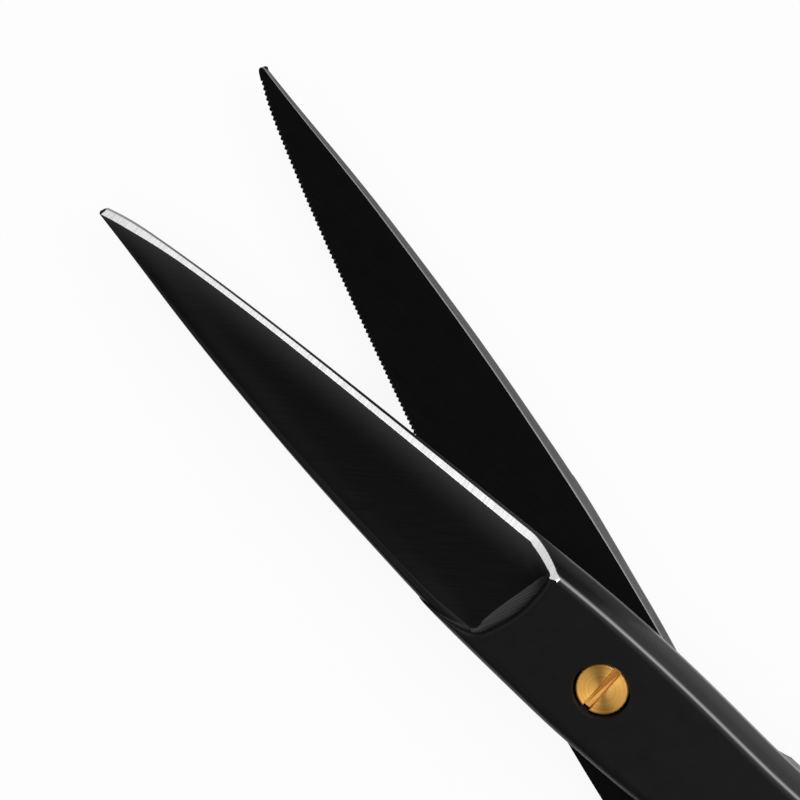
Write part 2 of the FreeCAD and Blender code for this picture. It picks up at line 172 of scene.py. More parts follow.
@dataclass
class GrindStep:
    """Plan of the step where the ground outer face ends at the joint."""

    edge_x: float = 6.08
    edge_y: float = -2.90
    spine_x: float = 6.62
    spine_y: float = 1.75
    corner_bend: float = 0.484
    bow: float = 0.42
    bow_end: float = 2.6
    bow_power: float = 1.5
    corner_power: float = 3.9
    lip_round: float = 0.30
    root_round: float = 0.45
    run_out: float = 0.14
    run_out_bow: float = 1.15
    run_out_growth: float = 0.16
    most_stretch: float = 2.5

    def x_at(self, y: np.ndarray) -> np.ndarray:
        """Place of the step along the blade.

        Args:
            y: Places across the blade.

        Returns:
            Where the step's wall stands there.
        """
        slant = (self.spine_x - self.edge_x) / (self.spine_y - self.edge_y)
        line = self.edge_x + (y - self.edge_y) * slant - self.bow_at(y)
        return line + self.corner_bend * np.maximum(y - self.spine_y, 0) ** self.corner_power

    def bow_at(self, y: np.ndarray) -> np.ndarray:
        """How far the step bows towards the joint."""
        middle, reach = (self.edge_y + self.bow_end) / 2, (self.bow_end - self.edge_y) / 2
        return self.bow * np.maximum(1 - ((y - middle) / reach) ** 2, 0) ** self.bow_power

    def run_out_at(self, y: np.ndarray) -> np.ndarray:
        """Width of the rounded run-out at the foot of the step, which ends in a straight line."""
        growth = self.run_out_growth * smooth_step((y + 1.5) / 3.0)
        return self.run_out + self.run_out_bow * self.bow_at(y) + growth

    def stretch_at(self, y: np.ndarray) -> np.ndarray:
        """Distance along the blade for one millimetre square to the step."""
        slope = (self.x_at(y + 0.01) - self.x_at(y - 0.01)) / 0.02
        return np.minimum(np.sqrt(1 + slope ** 2), self.most_stretch)


@dataclass
class HollowGrind:
    """Surface that the grinding wheel leaves on the outer face."""

    radius: float = 60.0
    heel: tuple[float, float, float] = (8.0, 3.1, 1.80)
    edge: tuple[float, float, float] = (8.0, -2.9, 0.65)
    tip: tuple[float, float, float] = (35.5, -0.1, 0.62)

    def height_at(self, x: np.ndarray, y: np.ndarray) -> np.ndarray:
        """Height of the ground face over the inner face.

        Args:
            x: Places along the blade.
            y: Places across it.

        Returns:
            The heights.
        """
        heel, edge, tip = Vector(self.heel), Vector(self.edge), Vector(self.tip)
        middle = (heel + edge) / 2
        along = (tip - middle).normalized()
        upward = along.cross(heel - edge).normalized()
        sag = ((heel - edge).length / 2) ** 2 / (2 * self.radius)
        centre = middle + upward * (self.radius - sag)
        dx, dy = x - centre.x, y - centre.y
        dz = -centre.z
        dot = dx * along.x + dy * along.y + dz * along.z
        a = 1 - along.z ** 2
        b = dz - dot * along.z
        c = dx ** 2 + dy ** 2 + dz ** 2 - dot ** 2 - self.radius ** 2
        return (-b - np.sqrt(np.maximum(b * b - a * c, 0))) / a


@dataclass
class Serration:
    """Row of small V notches along the cutting edge."""

    start: float = 9.2
    end: float = 36.6
    pitch: float = 0.27
    depth: float = 0.11

    def cut_at(self, x: np.ndarray) -> np.ndarray:
        """Depth of the notches along the edge."""
        phase = (x - self.start) / self.pitch % 1.0
        notch = 1 - np.abs(phase * 2 - 1)
        inside = (x > self.start) & (x < self.end)
        return np.where(inside, notch * self.depth, 0.0)


@dataclass
class Columns:
    """How many faces each stretch of the cross-section has."""

    side: int = 8
    side_corner: int = 3
    bevel: int = 8
    bevel_corner: int = 3
    face: int = 64
    spine_corner: int = 14
    spine: int = 6

    def layout(self) -> list[tuple[Stretch, float]]:
        """Stretch and share along it of every point of the section."""
        counts = (self.side, self.side_corner, self.bevel, self.bevel_corner, self.face, self.spine_corner,
                  self.spine)
        points = []
        for stretch, count in zip(Stretch, counts):
            shares = np.linspace(0, 1, count + 1)
            points += [(stretch, share) for share in (shares if stretch is Stretch.SPINE else shares[:-1])]
        return points


@dataclass
class HalfForm:
    """Form of one half: forged section, hollow grind with its step, and cutting bevel."""

    serration: Serration | None = None
    step: GrindStep = field(default_factory=GrindStep)
    grind: HollowGrind = field(default_factory=HollowGrind)
    columns: Columns = field(default_factory=Columns)
    gap: float = 0.02
    land: float = 0.15
    bevel_angle: float = 50.0
    tip_round: float = 0.18
    length: float = 37.26
    spine_softness: float = 1.0
    bevel_turn: float = 8.3
    bevel_rise: float = 0.47
    swell_reach: float = 0.85
    spine_reach: float = 0.8
    spine_land: float = 0.45
    lift_rate: float = 0.255
    lift_power: float = 1.7
    bevel_corner_share: float = 0.03
    sharp: float = 0.02
    tip_thinning: float = 0.28
    follow_ahead: float = 13.0
    follow_behind: float = 3.4
    curves: dict[str, Curve] = field(init=False)

    def __post_init__(self) -> None:
        """Lays the curves through the stations."""
        rows = sorted(STATIONS, key=lambda row: row.x)
        xs = [row.x for row in rows]
        names = ("spine", "edge", "spine_top", "edge_top", "spine_round", "edge_round", "lean")
        self.curves = {name: Curve(xs, [getattr(row, name) for row in rows]) for name in names}

    def at(self, name: str, x: np.ndarray) -> np.ndarray:
        """Value of one of the section's sizes along the blade."""
        return self.curves[name](x)

    def section(self, x: np.ndarray, ground: bool) -> tuple[np.ndarray, np.ndarray]:
        """Points of the cross-section, with or without the hollow grind.

        Args:
            x: Place along the blade of every point, one row for each section.
            ground: Whether the outer face is the ground one.

        Returns:
            Places across the blade, and heights.
        """
        rise = math.tan(math.radians(self.bevel_angle))
        edge, spine = self.at("edge", x), self.at("spine", x)
        lean, top = self.at("lean", x), np.minimum(self.at("edge_top", x), HALF_THICKNESS)
        base = self.land + self.lift_at(x)
        ridge_y = edge + lean
        face_edge = np.minimum(self.ground_height(x, ridge_y), top) if ground else top
        side_y = edge + lean * face_edge / top
        low_z = np.minimum(base / np.maximum(1 - lean / top * rise, 0.1), face_edge)
        low_y = edge + lean * low_z / top
        has_bevel = low_z < face_edge - 0.004
        high_y = side_y
        high_z = face_edge
        for _ in range(4):
            reach = edge + (high_z - base) / rise
            high_y = np.where(has_bevel, np.maximum(reach, side_y), side_y)
            high_z = np.minimum(self.ground_height(x, high_y), top) if ground else top
        if self.serration:
            cut = self.serration.cut_at(x)
            inside = cut > lean * low_z / top
            low_z = np.where(inside, base + cut * rise, low_z)
            low_y = np.where(inside, edge + cut, low_y)
            start_y = edge + cut
        else:
            start_y = edge
        bevelled = smooth_step((face_edge - low_z) / 0.25)
        ridge = self.at("edge_round", x) * (1 - bevelled) + self.sharp * bevelled
        slope_y, slope_z = lean, top
        length = np.hypot(slope_y, slope_z)
        first_y = low_y - ridge * (1 - bevelled) * slope_y / length
        first_z = np.maximum(low_z - ridge * (1 - bevelled) * slope_z / length, self.gap + self.sharp)
        last_y = high_y + ridge
        middle_y = side_y + ((first_y + last_y) / 2 - side_y) * bevelled
        middle_z = face_edge + ((first_z + high_z) / 2 - face_edge) * bevelled
        spine_top = np.minimum(self.ground_height(x, spine), self.at("spine_top", x)) if ground \
            else np.minimum(self.at("spine_top", x), HALF_THICKNESS)
        softness = 1 + (self.spine_softness - 1) * smooth_step((x - 3) / 9)
        roundness = np.minimum(self.at("spine_round", x) * softness, 0.85 * spine_top)
        fall = self.face_height(x, spine, ground) - self.face_height(x, spine - roundness, ground)
        face_slope = fall / roundness
        turn = np.pi / 2 + np.arctan(face_slope)
        tangent = roundness * np.tan(turn / 2)
        face_end = spine - tangent * np.cos(np.arctan(face_slope))
        nick = np.minimum(0.015, (first_z - self.gap) / 3)
        corner = self.bevel_corner_share
        out_y, out_z = np.zeros_like(x), np.zeros_like(x)
        for j, (stretch, share) in enumerate(self.columns.layout()):
            c = (slice(None), j)
            if stretch is Stretch.SIDE:
                end_y = first_y[c] - nick[c] * slope_y[c] / length[c]
                end_z = first_z[c] - nick[c]
                out_y[c] = start_y[c] + (end_y - start_y[c]) * share
                out_z[c] = self.gap + (end_z - self.gap) * share
            elif stretch is Stretch.SIDE_CORNER:
                after_y = first_y[c] + (middle_y[c] - first_y[c]) * 0.06
                after_z = first_z[c] + (middle_z[c] - first_z[c]) * 0.06
                before_y = first_y[c] - nick[c] * slope_y[c] / length[c]
                out_y[c] = bezier(before_y, first_y[c], after_y, share)
                out_z[c] = bezier(first_z[c] - nick[c], first_z[c], after_z, share)
            elif stretch is Stretch.BEVEL:
                t = corner + (1 - 2 * corner) * share
                out_y[c] = bezier(first_y[c], middle_y[c], last_y[c], t)
                out_z[c] = bezier(first_z[c], middle_z[c], high_z[c], t)
            elif stretch is Stretch.BEVEL_CORNER:
                before_y = bezier(first_y[c], middle_y[c], last_y[c], 1 - corner)
                before_z = bezier(first_z[c], middle_z[c], high_z[c], 1 - corner)
                after_y = last_y[c] + self.sharp
                out_y[c] = bezier(before_y, last_y[c], after_y, share)
                after_z = self.face_height(x[c], after_y, ground)
                out_z[c] = bezier(before_z, high_z[c], after_z, share)
            elif stretch is Stretch.FACE:
                flat_start = last_y[c] + self.sharp
                out_y[c] = flat_start + (face_end[c] - flat_start) * share
                out_z[c] = self.face_height(x[c], out_y[c], ground)
            elif stretch is Stretch.SPINE_CORNER:
                start_z = self.face_height(x[c], face_end[c], ground)
                out_y[c] = arc(face_end[c], spine[c], spine[c], share, turn[c])
                out_z[c] = arc(start_z, spine_top[c], spine_top[c] - tangent[c], share, turn[c])
            else:
                out_y[c] = spine[c]
                start_z = spine_top[c] - tangent[c]
                out_z[c] = start_z + (self.gap - start_z) * share
        return out_y, out_z

    def face_height(self, x: np.ndarray, y: np.ndarray, ground: bool) -> np.ndarray:
        """Height of the outer face.

        Args:
            x: Places along the blade.
            y: Places across it.
            ground: Whether the face is the ground one.

        Returns:
            The heights.
        """
        edge, spine = self.at("edge", x), self.at("spine", x)
        share = np.clip((y - edge) / (spine - edge), 0, 1)
        blank = self.at("edge_top", x) * (1 - share) + self.at("spine_top", x) * share
        blank = np.minimum(blank, HALF_THICKNESS)
        return np.minimum(self.ground_height(x, y), blank) if ground else blank

    def lift_at(self, x: np.ndarray) -> np.ndarray:
        """Lift of the cutting bevel along the blade."""
        return self.lift_rate * np.maximum(self.bevel_turn - x, 0) ** self.lift_power

    def ground_height(self, x: np.ndarray, y: np.ndarray) -> np.ndarray:
        """Height of the hollow grind, which swells towards the bevel's upper end.

        Args:
            x: Places along the blade.
            y: Places across it.

        Returns:
            The heights.
        """
        wheel = self.grind.height_at(x, y)
        edge = self.at("edge", x)
        lift = self.lift_at(x)
        wanted = (self.land + lift) / 0.74 + self.bevel_rise
        ridge = edge + self.at("lean", x)
        inward = np.maximum(y - ridge, 0)
        swell = np.maximum(wanted - self.grind.height_at(x, ridge), 0) * smooth_step(lift / 0.08)
        spine = self.at("spine", x)
        blank = np.minimum(self.at("spine_top", x), HALF_THICKNESS)
        rest = np.maximum(blank - self.grind.height_at(x, spine), 0) * smooth_step((x - 7.2) / 2.2)
        inside = np.maximum(spine - y - self.spine_land, 0)
        back = rest * np.exp(-(inside / self.spine_reach) ** 2)
        return wheel + swell * np.exp(-(inward / self.swell_reach) ** 2) + back

    def rows(self) -> list[tuple[float, float, str]]:
        """Rows along the blade: place, share of the step that is done, and which part of the step it is."""
        pivot = float(self.step.x_at(np.array(0.0)))
        lip, root = self.step.lip_round, self.step.root_round
        fine = self.serration.pitch / 6 if self.serration else 0.11
        before = spread([(-46, 0.8), (-18, 0.5), (-6, 0.25), (-2.4, 0.15), (2.4, 0.15), (5.0, 0.08),
                         (pivot - lip - 0.006, 0.05)])
        rows = [(s, 0.0, "before") for s in before]
        wall = 0.006
        rows += [(pivot - wall - lip + lip * math.sin(a), a, "lip") for a in np.linspace(0.15, math.pi / 2, 8)]
        rows += [(pivot - wall * (1 - f), f, "wall") for f in (0.25, 0.5, 0.75)]
        rows += [(pivot + root - root * math.cos(a), a, "root") for a in np.linspace(0.0, math.pi / 2, 16)[:-1]]
        after = spread([(pivot + root, 0.05), (pivot + root + 0.8, fine), (37.0, fine)])
        rows += [(s, 1.0, "after") for s in after]
        centre = self.length - self.tip_round
        rows = [row for row in rows if row[0] < centre - 0.01]
        rows += [(centre + self.tip_round * math.sin(a), 1.0, "after") for a in np.linspace(0, math.pi / 2, 10)]
        return rows

    def place(self, s: np.ndarray, y: np.ndarray) -> np.ndarray:
        """Place along the blade of a row's point: near the step the rows follow the step's plan.

        Args:
            s: The row's place on the middle line.
            y: The point's place across the blade.

        Returns:
            The point's place along the blade.
        """
        pivot = float(self.step.x_at(np.array(0.0)))
        offset = self.step.x_at(y) - pivot
        away = s - pivot
        reach = np.where(away > 0, self.follow_ahead, self.follow_behind)
        follow = 1 - smooth_step((np.abs(away) - self.step.root_round) / reach)
        near = np.clip(away, -self.step.root_round, self.step.root_round)
        wide = np.where(away > 0, self.step.run_out_at(y) / self.step.root_round, 1.0)
        return pivot + away + (offset + near * (self.step.stretch_at(y) * wide - 1)) * follow

    def surface(self) -> tuple[np.ndarray, np.ndarray, list[tuple[float, float, str]]]:
        """Outer surface as a grid of points.

        Returns:
            The points, the stretch number of every column, and the rows.
        """
        rows = self.rows()
        numbers = np.array([stretch.value for stretch, _ in self.columns.layout()])
        s = np.array([row[0] for row in rows])[:, None] * np.ones(len(numbers))[None, :]
        x = s.copy()
        for _ in range(12):
            blank_y, blank_z = self.section(x, False)
            ground_y, ground_z = self.section(x, True)
            share = self.step_share(rows, blank_z, ground_z)
            y = blank_y + (ground_y - blank_y) * share
            x = self.place(s, y)
        z = blank_z + (ground_z - blank_z) * share
        centre_x = self.length - self.tip_round
        centre_y = (STATIONS[0].spine + STATIONS[0].edge) / 2
        beyond = np.clip((s - centre_x) / self.tip_round, 0, 1)
        narrow = np.sqrt(1 - beyond ** 2)
        y = centre_y + (y - centre_y) * narrow
        z = np.where(z > self.gap, self.gap + (z - self.gap) * (1 - self.tip_thinning * (1 - narrow)), z)
        return np.stack([x, y, z], -1), numbers, rows

    def step_share(self, rows: list[tuple[float, float, str]], blank: np.ndarray,
                   ground: np.ndarray) -> np.ndarray:
        """How far each point has gone from the unground to the ground face.

        Args:
            rows: The rows along the blade.
            blank: Heights of the unground section.
            ground: Heights of the ground section.

        Returns:
            Shares from 0 to 1.
        """
        height = np.maximum(blank - ground, 1e-4)
        lip = np.minimum(self.step.lip_round, 0.4 * height)
        root = np.minimum(self.step.root_round, 0.5 * height)
        share = np.zeros_like(blank)
        for i, (_, value, part) in enumerate(rows):
            if part == "lip":
                drop = lip[i] * (1 - math.cos(value))
            elif part == "wall":
                drop = lip[i] * (1 - value) + (height[i] - root[i]) * value
            elif part == "root":
                drop = height[i] - root[i] * (1 - math.sin(value))
            else:
                drop = height[i] * value
            share[i] = drop / height[i]
        return share


def bezier(a: np.ndarray, b: np.ndarray, c: np.ndarray, t: float) -> np.ndarray:
    """Point of a quadratic curve."""
    return (1 - t) ** 2 * a + 2 * t * (1 - t) * b + t * t * c


def arc(a: np.ndarray, b: np.ndarray, c: np.ndarray, t: float, turn: np.ndarray) -> np.ndarray:
    """Point of a circular arc given by its ends, its corner and the angle that it turns."""
    weight = np.cos(turn / 2)
    below = (1 - t) ** 2 + 2 * weight * t * (1 - t) + t * t
    return ((1 - t) ** 2 * a + 2 * weight * t * (1 - t) * b + t * t * c) / below


def spread(knots: list[tuple[float, float]]) -> list[float]:
    """Places between knots.

    Args:
        knots: Place of each knot, and the spacing from there to the next.

    Returns:
        The places, without the last knot.
    """
    places = []
    for (start, spacing), (end, _) in zip(knots, knots[1:]):
        count = max(1, round((end - start) / spacing))
        places += [start + (end - start) * i / count for i in range(count)]
    return places


def add_object(name: str, data: bpy.types.ID) -> bpy.types.Object:
    """Puts a mesh, a lamp or a camera into the scene."""
    made = bpy.data.objects.new(name, data)
    bpy.context.scene.collection.objects.link(made)
    return made


def as_mesh(shape: bmesh.types.BMesh, name: str) -> bpy.types.Mesh:
    """Turns a shape into a mesh and frees it."""
    mesh = bpy.data.meshes.new(name)
    shape.to_mesh(mesh)
    shape.free()
    return mesh


class HalfMesh:
    """Collects the faces of one half, in its own frame."""

    def __init__(self, name: str) -> None:
        """Starts an empty mesh.

        Args:
            name: The piece's name.
        """
        self.name = name
        self.points: list[np.ndarray] = []
        self.faces: list[tuple[int, ...]] = []
        self.zones: list[int] = []
        self.count = 0

    def add_points(self, points: np.ndarray) -> np.ndarray:
        """Adds points.

        Args:
            points: A grid or list of points.

        Returns:
            Their numbers, in the same layout.
        """
        flat = points.reshape(-1, 3)
        numbers = np.arange(self.count, self.count + len(flat)).reshape(points.shape[:-1])
        self.points.append(flat)
        self.count += len(flat)
        return numbers

    def add_face(self, corners: tuple[int, ...], zone: Zone, flip: bool) -> None:
        """Adds one face."""
        self.faces.append(tuple(reversed(corners)) if flip else corners)
        self.zones.append(zone.value)

    def add_grid(self, points: np.ndarray, zones: np.ndarray, flip: bool,
                 skip: np.ndarray | None = None) -> np.ndarray:
        """Adds a grid of faces.

        Args:
            points: The grid's points.
            zones: Zone number of every face.
            flip: Whether the faces point the other way.
            skip: Faces to leave out.

        Returns:
            The numbers of the grid's points.
        """
        numbers = self.add_points(points)
        for i in range(points.shape[0] - 1):
            for j in range(points.shape[1] - 1):
                if skip is not None and skip[i, j]:
                    continue
                corners = tuple(int(numbers[i + a, j + b]) for a, b in ((0, 0), (1, 0), (1, 1), (0, 1)))
                self.add_face(corners, Zone(int(zones[i, j])), flip)
        return numbers

    def add_loops(self, loops: list[np.ndarray], zone: Zone, flip: bool) -> None:
        """Joins closed loops of points one after another.

        Args:
            loops: Loops with the same number of points.
            zone: The faces' zone.
            flip: Whether the faces point the other way.
        """
        numbers = [loop if loop.ndim == 1 else self.add_points(loop) for loop in loops]
        for first, second in zip(numbers, numbers[1:]):
            for k in range(len(first)):
                n = (k + 1) % len(first)
                self.add_face((int(first[k]), int(first[n]), int(second[n]), int(second[k])), zone, flip)

    def punch(self, points: np.ndarray, zones: np.ndarray, flip: bool, rings: list[tuple[float, float]],
              reach: float) -> None:
        """Adds a grid with a round hole about the pivot.

        Args:
            points: The grid's points.
            zones: Zone number of every face.
            flip: Whether the faces point the other way.
            rings: Radius and height of the hole's rings, from the face inwards.
            reach: Half of the width of the square in which the faces make room for the hole.
        """
        middle = (points[:-1, :-1] + points[1:, 1:]) / 2
        inside = (np.abs(middle[..., 0]) < reach) & (np.abs(middle[..., 1]) < reach)
        i_range = np.nonzero(inside.any(1))[0]
        j_range = np.nonzero(inside.any(0))[0]
        i0, i1, j0, j1 = i_range[0], i_range[-1] + 1, j_range[0], j_range[-1] + 1
        skip = np.zeros_like(inside)
        skip[i0:i1, j0:j1] = True
        numbers = self.add_grid(points, zones, flip, skip)
        around = [(i, j0) for i in range(i0, i1)] + [(i1, j) for j in range(j0, j1)]
        around += [(i, j1) for i in range(i1, i0, -1)] + [(i0, j) for j in range(j1, j0, -1)]
        outer = np.array([numbers[k] for k in around])
        places = np.array([points[k] for k in around])
        angle = np.arctan2(places[:, 1], places[:, 0])
        loops = [outer]
        for radius, height in rings:
            level = np.full_like(angle, height)
            loops.append(np.stack([radius * np.cos(angle), radius * np.sin(angle), level], -1))
        self.add_loops(loops, Zone.FORGED, flip)

    def build(self, turn: Matrix, form: HalfForm) -> bpy.types.Object:
        """Makes the object.

        Args:
            turn: From the half's own frame, in millimetres, to the finished one.
            form: The half's form, for the map of the distance from the ridge.

        Returns:
            The object, its place in its mesh.
        """
        points = np.concatenate(self.points)
        mesh = bpy.data.meshes.new(self.name)
        mesh.from_pydata(points.tolist(), [], self.faces)
        mesh.polygons.foreach_set("material_index", self.zones)
        loops = np.zeros(len(mesh.loops), np.int32)
        mesh.loops.foreach_get("vertex_index", loops)
        along, across = points[loops][:, 0], points[loops][:, 1]
        ridge = form.at("edge", along) + form.at("lean", along)
        for name, values in (("grain", across), ("section", across - ridge)):
            flat = np.stack([along, values], -1).astype(np.float32).ravel() / MAP_UNIT
            mesh.uv_layers.new(name=name).data.foreach_set("uv", flat)
        # Points on the inner face's rim, where a painted highlight line goes.
        rim = (np.abs(points[:, 2] - form.gap) < 0.001).astype(np.float32)
        mesh.attributes.new("rim", "FLOAT", "POINT").data.foreach_set("value", rim)
        mesh.transform(turn)
        return add_object(self.name, mesh)


@dataclass
class ScissorHalf:
    """One half of the scissors: blade, joint, shank and finger ring."""

    name: str
    node: str
    body: str
    slot: str
    upper: bool
    neck_x: float = -46.0
    shoulder_outer: tuple[float, float] = (-9.0, -3.60)
    shoulder_inner: tuple[float, float] = (-16.9, -0.40)
    counterbore: float = 1.55
    bearing_hole: float = 1.04
    thread_hole: float = 1.0
    seat_height: float = 0.98
    rim: float = 0.035
    hole_room: tuple[float, float] = (2.0, 1.9)
    lap_start: float = -4.0
    bevel_from: float = 5.55
    bevel_to: float = 36.9
    crescent_end: float = 2.85
    crescent_slant: float = 0.9
    lap_shares: tuple[float, ...] = (0, 0.02, 0.06, 0.14, 0.24, 0.35, 0.46, 0.57, 0.68, 0.8, 0.92, 1.0)
    lap_rows: int = 14
    shank_rows: int = 60

    def turn(self) -> Matrix:
        """From the half's own frame, in millimetres, to the finished one."""
        lift = Matrix.Translation((0, 0, HALF_THICKNESS))
        angle = math.radians(HALF_OPENING)
        if self.upper:
            place = lift @ Matrix.Rotation(angle, 4, "Z")
        else:
            place = lift @ Matrix.Rotation(-angle, 4, "Z") @ Matrix.Rotation(math.pi, 4, "X")
        return Matrix.Scale(MM, 4) @ place

    def shoulder_x(self, y: np.ndarray) -> np.ndarray:
        """Place along the shank of the slanted shoulder."""
        (x0, y0), (x1, y1) = self.shoulder_outer, self.shoulder_inner
        return x0 + (y - y0) * (x1 - x0) / (y1 - y0)

    def make_mesh(self) -> bpy.types.Object:
        """Builds the forging in front of the ring.

        Returns:
            The piece.
        """
        if self.upper:
            form = HalfForm(columns=Columns(face=80), length=37.06)
        else:
            form = HalfForm(serration=Serration(), columns=Columns(face=26, spine_corner=10, spine=4, side=5),
                            spine_softness=0.55)
        mesh = HalfMesh(self.name)
        points, numbers, rows = form.surface()
        zones = self.outer_zones(points, numbers, rows)
        if self.upper:
            rings = [(self.counterbore + self.rim, HALF_THICKNESS), (self.counterbore, HALF_THICKNESS - self.rim),
                     (self.counterbore, self.seat_height), (self.bearing_hole, self.seat_height),
                     (self.bearing_hole, form.gap)]
        else:
            rings = [(self.thread_hole + 2 * self.rim, HALF_THICKNESS),
                     (self.thread_hole, HALF_THICKNESS - 2 * self.rim), (self.thread_hole, form.gap)]
        mesh.punch(points, zones, False, rings, self.hole_room[0])
        self.add_inner_face(mesh, form, points)
        self.add_rear_underside(mesh, form)
        return mesh.build(self.turn(), form)

    def outer_zones(self, points: np.ndarray, numbers: np.ndarray, rows: list) -> np.ndarray:
        """Zone of every face of the outer surface.

        Args:
            points: The surface's grid.
            numbers: Stretch of every column of points.
            rows: The rows along the blade.

        Returns:
            A zone number for each face. The black of the side reaches one face up the bevel.
        """
        zones = np.full((len(rows) - 1, len(numbers) - 1), Zone.FORGED.value)
        stretch = numbers[:-1]
        part = np.array([row[2] for row in rows[:-1]])
        face = (stretch == Stretch.BEVEL_CORNER) | (stretch == Stretch.FACE)
        zones[np.ix_(part == "root", face)] = Zone.RUN_OUT.value
        zones[np.ix_(part == "after", face)] = Zone.GROUND_FACE.value
        x, y = points[:-1, :-1, 0], points[:-1, :-1, 1]
        crescent = x[part == "root"]
        share = (x - crescent.min(axis=0)) / np.maximum(np.ptp(crescent, axis=0), 1e-6)
        past_end = (zones == Zone.RUN_OUT.value) & (y + self.crescent_slant * share > self.crescent_end)
        zones[past_end] = Zone.GROUND_FACE.value
        bevel = stretch == Stretch.BEVEL
        bevel &= np.cumsum(bevel) > 1
        along = (x > self.bevel_from) & (points[1:, :-1, 0] < self.bevel_to)
        zones[along & bevel[None, :]] = Zone.CUTTING_BEVEL.value
        return zones

    def add_inner_face(self, mesh: HalfMesh, form: HalfForm, outer: np.ndarray) -> None:
        """Flat inner face, from the tip to the slanted shoulder.

        Args:
            mesh: The mesh that it goes into.
            form: The half's form.
            outer: The outer surface's grid.
        """
        first = int(np.argmax(outer[:, 0, 0] > self.lap_start))
        start, end = outer[first:, 0], outer[first:, -1]
        share = np.array(self.lap_shares)[None, :, None]
        front = start[:, None] * (1 - share) + end[:, None] * share
        front[..., 2] = form.gap
        zones = np.full((front.shape[0] - 1, front.shape[1] - 1), Zone.INNER_FACE.value)
        hole = self.bearing_hole if self.upper else self.thread_hole
        mesh.punch(front, zones, True, [(hole, form.gap), (hole, form.gap + 0.3)], self.hole_room[1])
        across = share[0, :, 0]
        rear = np.zeros((self.lap_rows, len(across), 3))
        for i, u in enumerate(np.linspace(0, 1, self.lap_rows)):
            x = np.full(len(across), self.shoulder_outer[0])
            for _ in range(SETTLING_ROUNDS):
                y = form.at("edge", x) * (1 - across) + form.at("spine", x) * across
                x = self.shoulder_x(y) * (1 - u) + front[0, :, 0] * u
            rear[i] = np.stack([x, y, np.full_like(x, form.gap)], -1)
        mesh.add_grid(rear, np.full((self.lap_rows - 1, len(across) - 1), Zone.INNER_FACE.value), True)

    def add_rear_underside(self, mesh: HalfMesh, form: HalfForm) -> None:
        """Underside of the shank behind the shoulder, and the shoulder's wall.

        Args:
            mesh: The mesh that it goes into.
            form: The half's form.
        """
        columns, count = len(form.columns.layout()), self.shank_rows
        share = (np.linspace(0, 1, count) ** 1.3)[:, None] * np.ones(columns)[None, :]
        x = np.full_like(share, -20.0)
        for _ in range(SETTLING_ROUNDS):
            y, z = form.section(x, False)
            x = self.shoulder_x(y) * (1 - share) + self.neck_x * share
        under = np.stack([x, y, -z], -1)
        zones = np.full((count - 1, columns - 1), Zone.FORGED.value)
        mesh.add_grid(under, zones, False)
        wall = np.stack([under[0], under[0]])
        wall[0, :, 2] = form.gap
        mesh.add_grid(wall, zones[:1], True)
        seam = np.stack([under[:, [0, -1]], under[:, [0, -1]]])
        seam[1, ..., 2] = form.gap
        for side in (0, 1):
            mesh.add_grid(seam[:, :, side], zones[:1, :1].repeat(count - 1, 1), side == 1)

    def make_ring(self) -> bpy.types.Object:
        """Finger ring, from the construction model's own surface.

        Returns:
            The ring's object.
        """
        source = frame["nodes"][self.node]
        shape = bmesh.new()
        shape.from_mesh(source.data)
        bmesh.ops.remove_doubles(shape, verts=shape.verts, dist=1e-7)
        turn = self.turn()
        neck = turn @ Vector((self.neck_x, 0, 0))
        away = (turn @ Vector((1, 0, 0)) - turn @ Vector((0, 0, 0))).normalized()
        everything = shape.verts[:] + shape.edges[:] + shape.faces[:]
        bmesh.ops.bisect_plane(shape, geom=everything, plane_co=neck, plane_no=away, clear_outer=True)
        mesh = as_mesh(shape, self.name + "_ring")
        mesh.materials.clear()
        far = mesh.uv_layers.new(name="section")
        far.data.foreach_set("uv", [1.0] * (2 * len(mesh.loops)))
        layer = mesh.uv_layers.get("grain") or mesh.uv_layers.new(name="grain")
        back = turn.inverted()
        for loop in mesh.loops:
            local = back @ mesh.vertices[loop.vertex_index].co
            layer.data[loop.index].uv = (local.x / MAP_UNIT, local.y / MAP_UNIT)
        mesh.polygons.foreach_set("material_index", [Zone.FORGED.value] * len(mesh.polygons))
        return add_object(mesh.name, mesh)

    def build(self, finishes: list[bpy.types.Material]) -> bpy.types.Object:
        """Builds the half and puts it in place of its node.

        Args:
            finishes: Materials in the order of the zones.

        Returns:
            The finished piece.
        """
        piece = self.make_mesh()
        ring = self.make_ring()
        for target in (piece, ring):
            for finish in finishes:
                target.data.materials.append(finish)
        join(piece, ring)
        tidy_mesh(piece, 2e-7)
        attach(piece, self.body)
        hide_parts(self.node)
        LOG.info("%s: %d faces", piece.name, len(piece.data.polygons))
        return piece


def join(piece: bpy.types.Object, other: bpy.types.Object) -> None:
    """Joins another object into a piece."""
    bpy.ops.object.select_all(action="DESELECT")
    other.select_set(True)
    piece.select_set(True)
    bpy.context.view_layer.objects.active = piece
    bpy.ops.object.join()


def tidy_mesh(piece: bpy.types.Object, distance: float) -> None:
    """Merges doubles, drops faces without area and shades smooth except at sharp edges.

    Args:
        piece: The piece.
        distance: Largest distance between doubles, in metres.
    """
    shape = bmesh.new()
    shape.from_mesh(piece.data)
    bmesh.ops.remove_doubles(shape, verts=shape.verts, dist=distance)
    bmesh.ops.dissolve_degenerate(shape, edges=shape.edges, dist=distance)
    shape.to_mesh(piece.data)
    shape.free()
    piece.data.shade_smooth()
    piece.data.set_sharp_from_angle(angle=math.radians(SMOOTH_ANGLE))


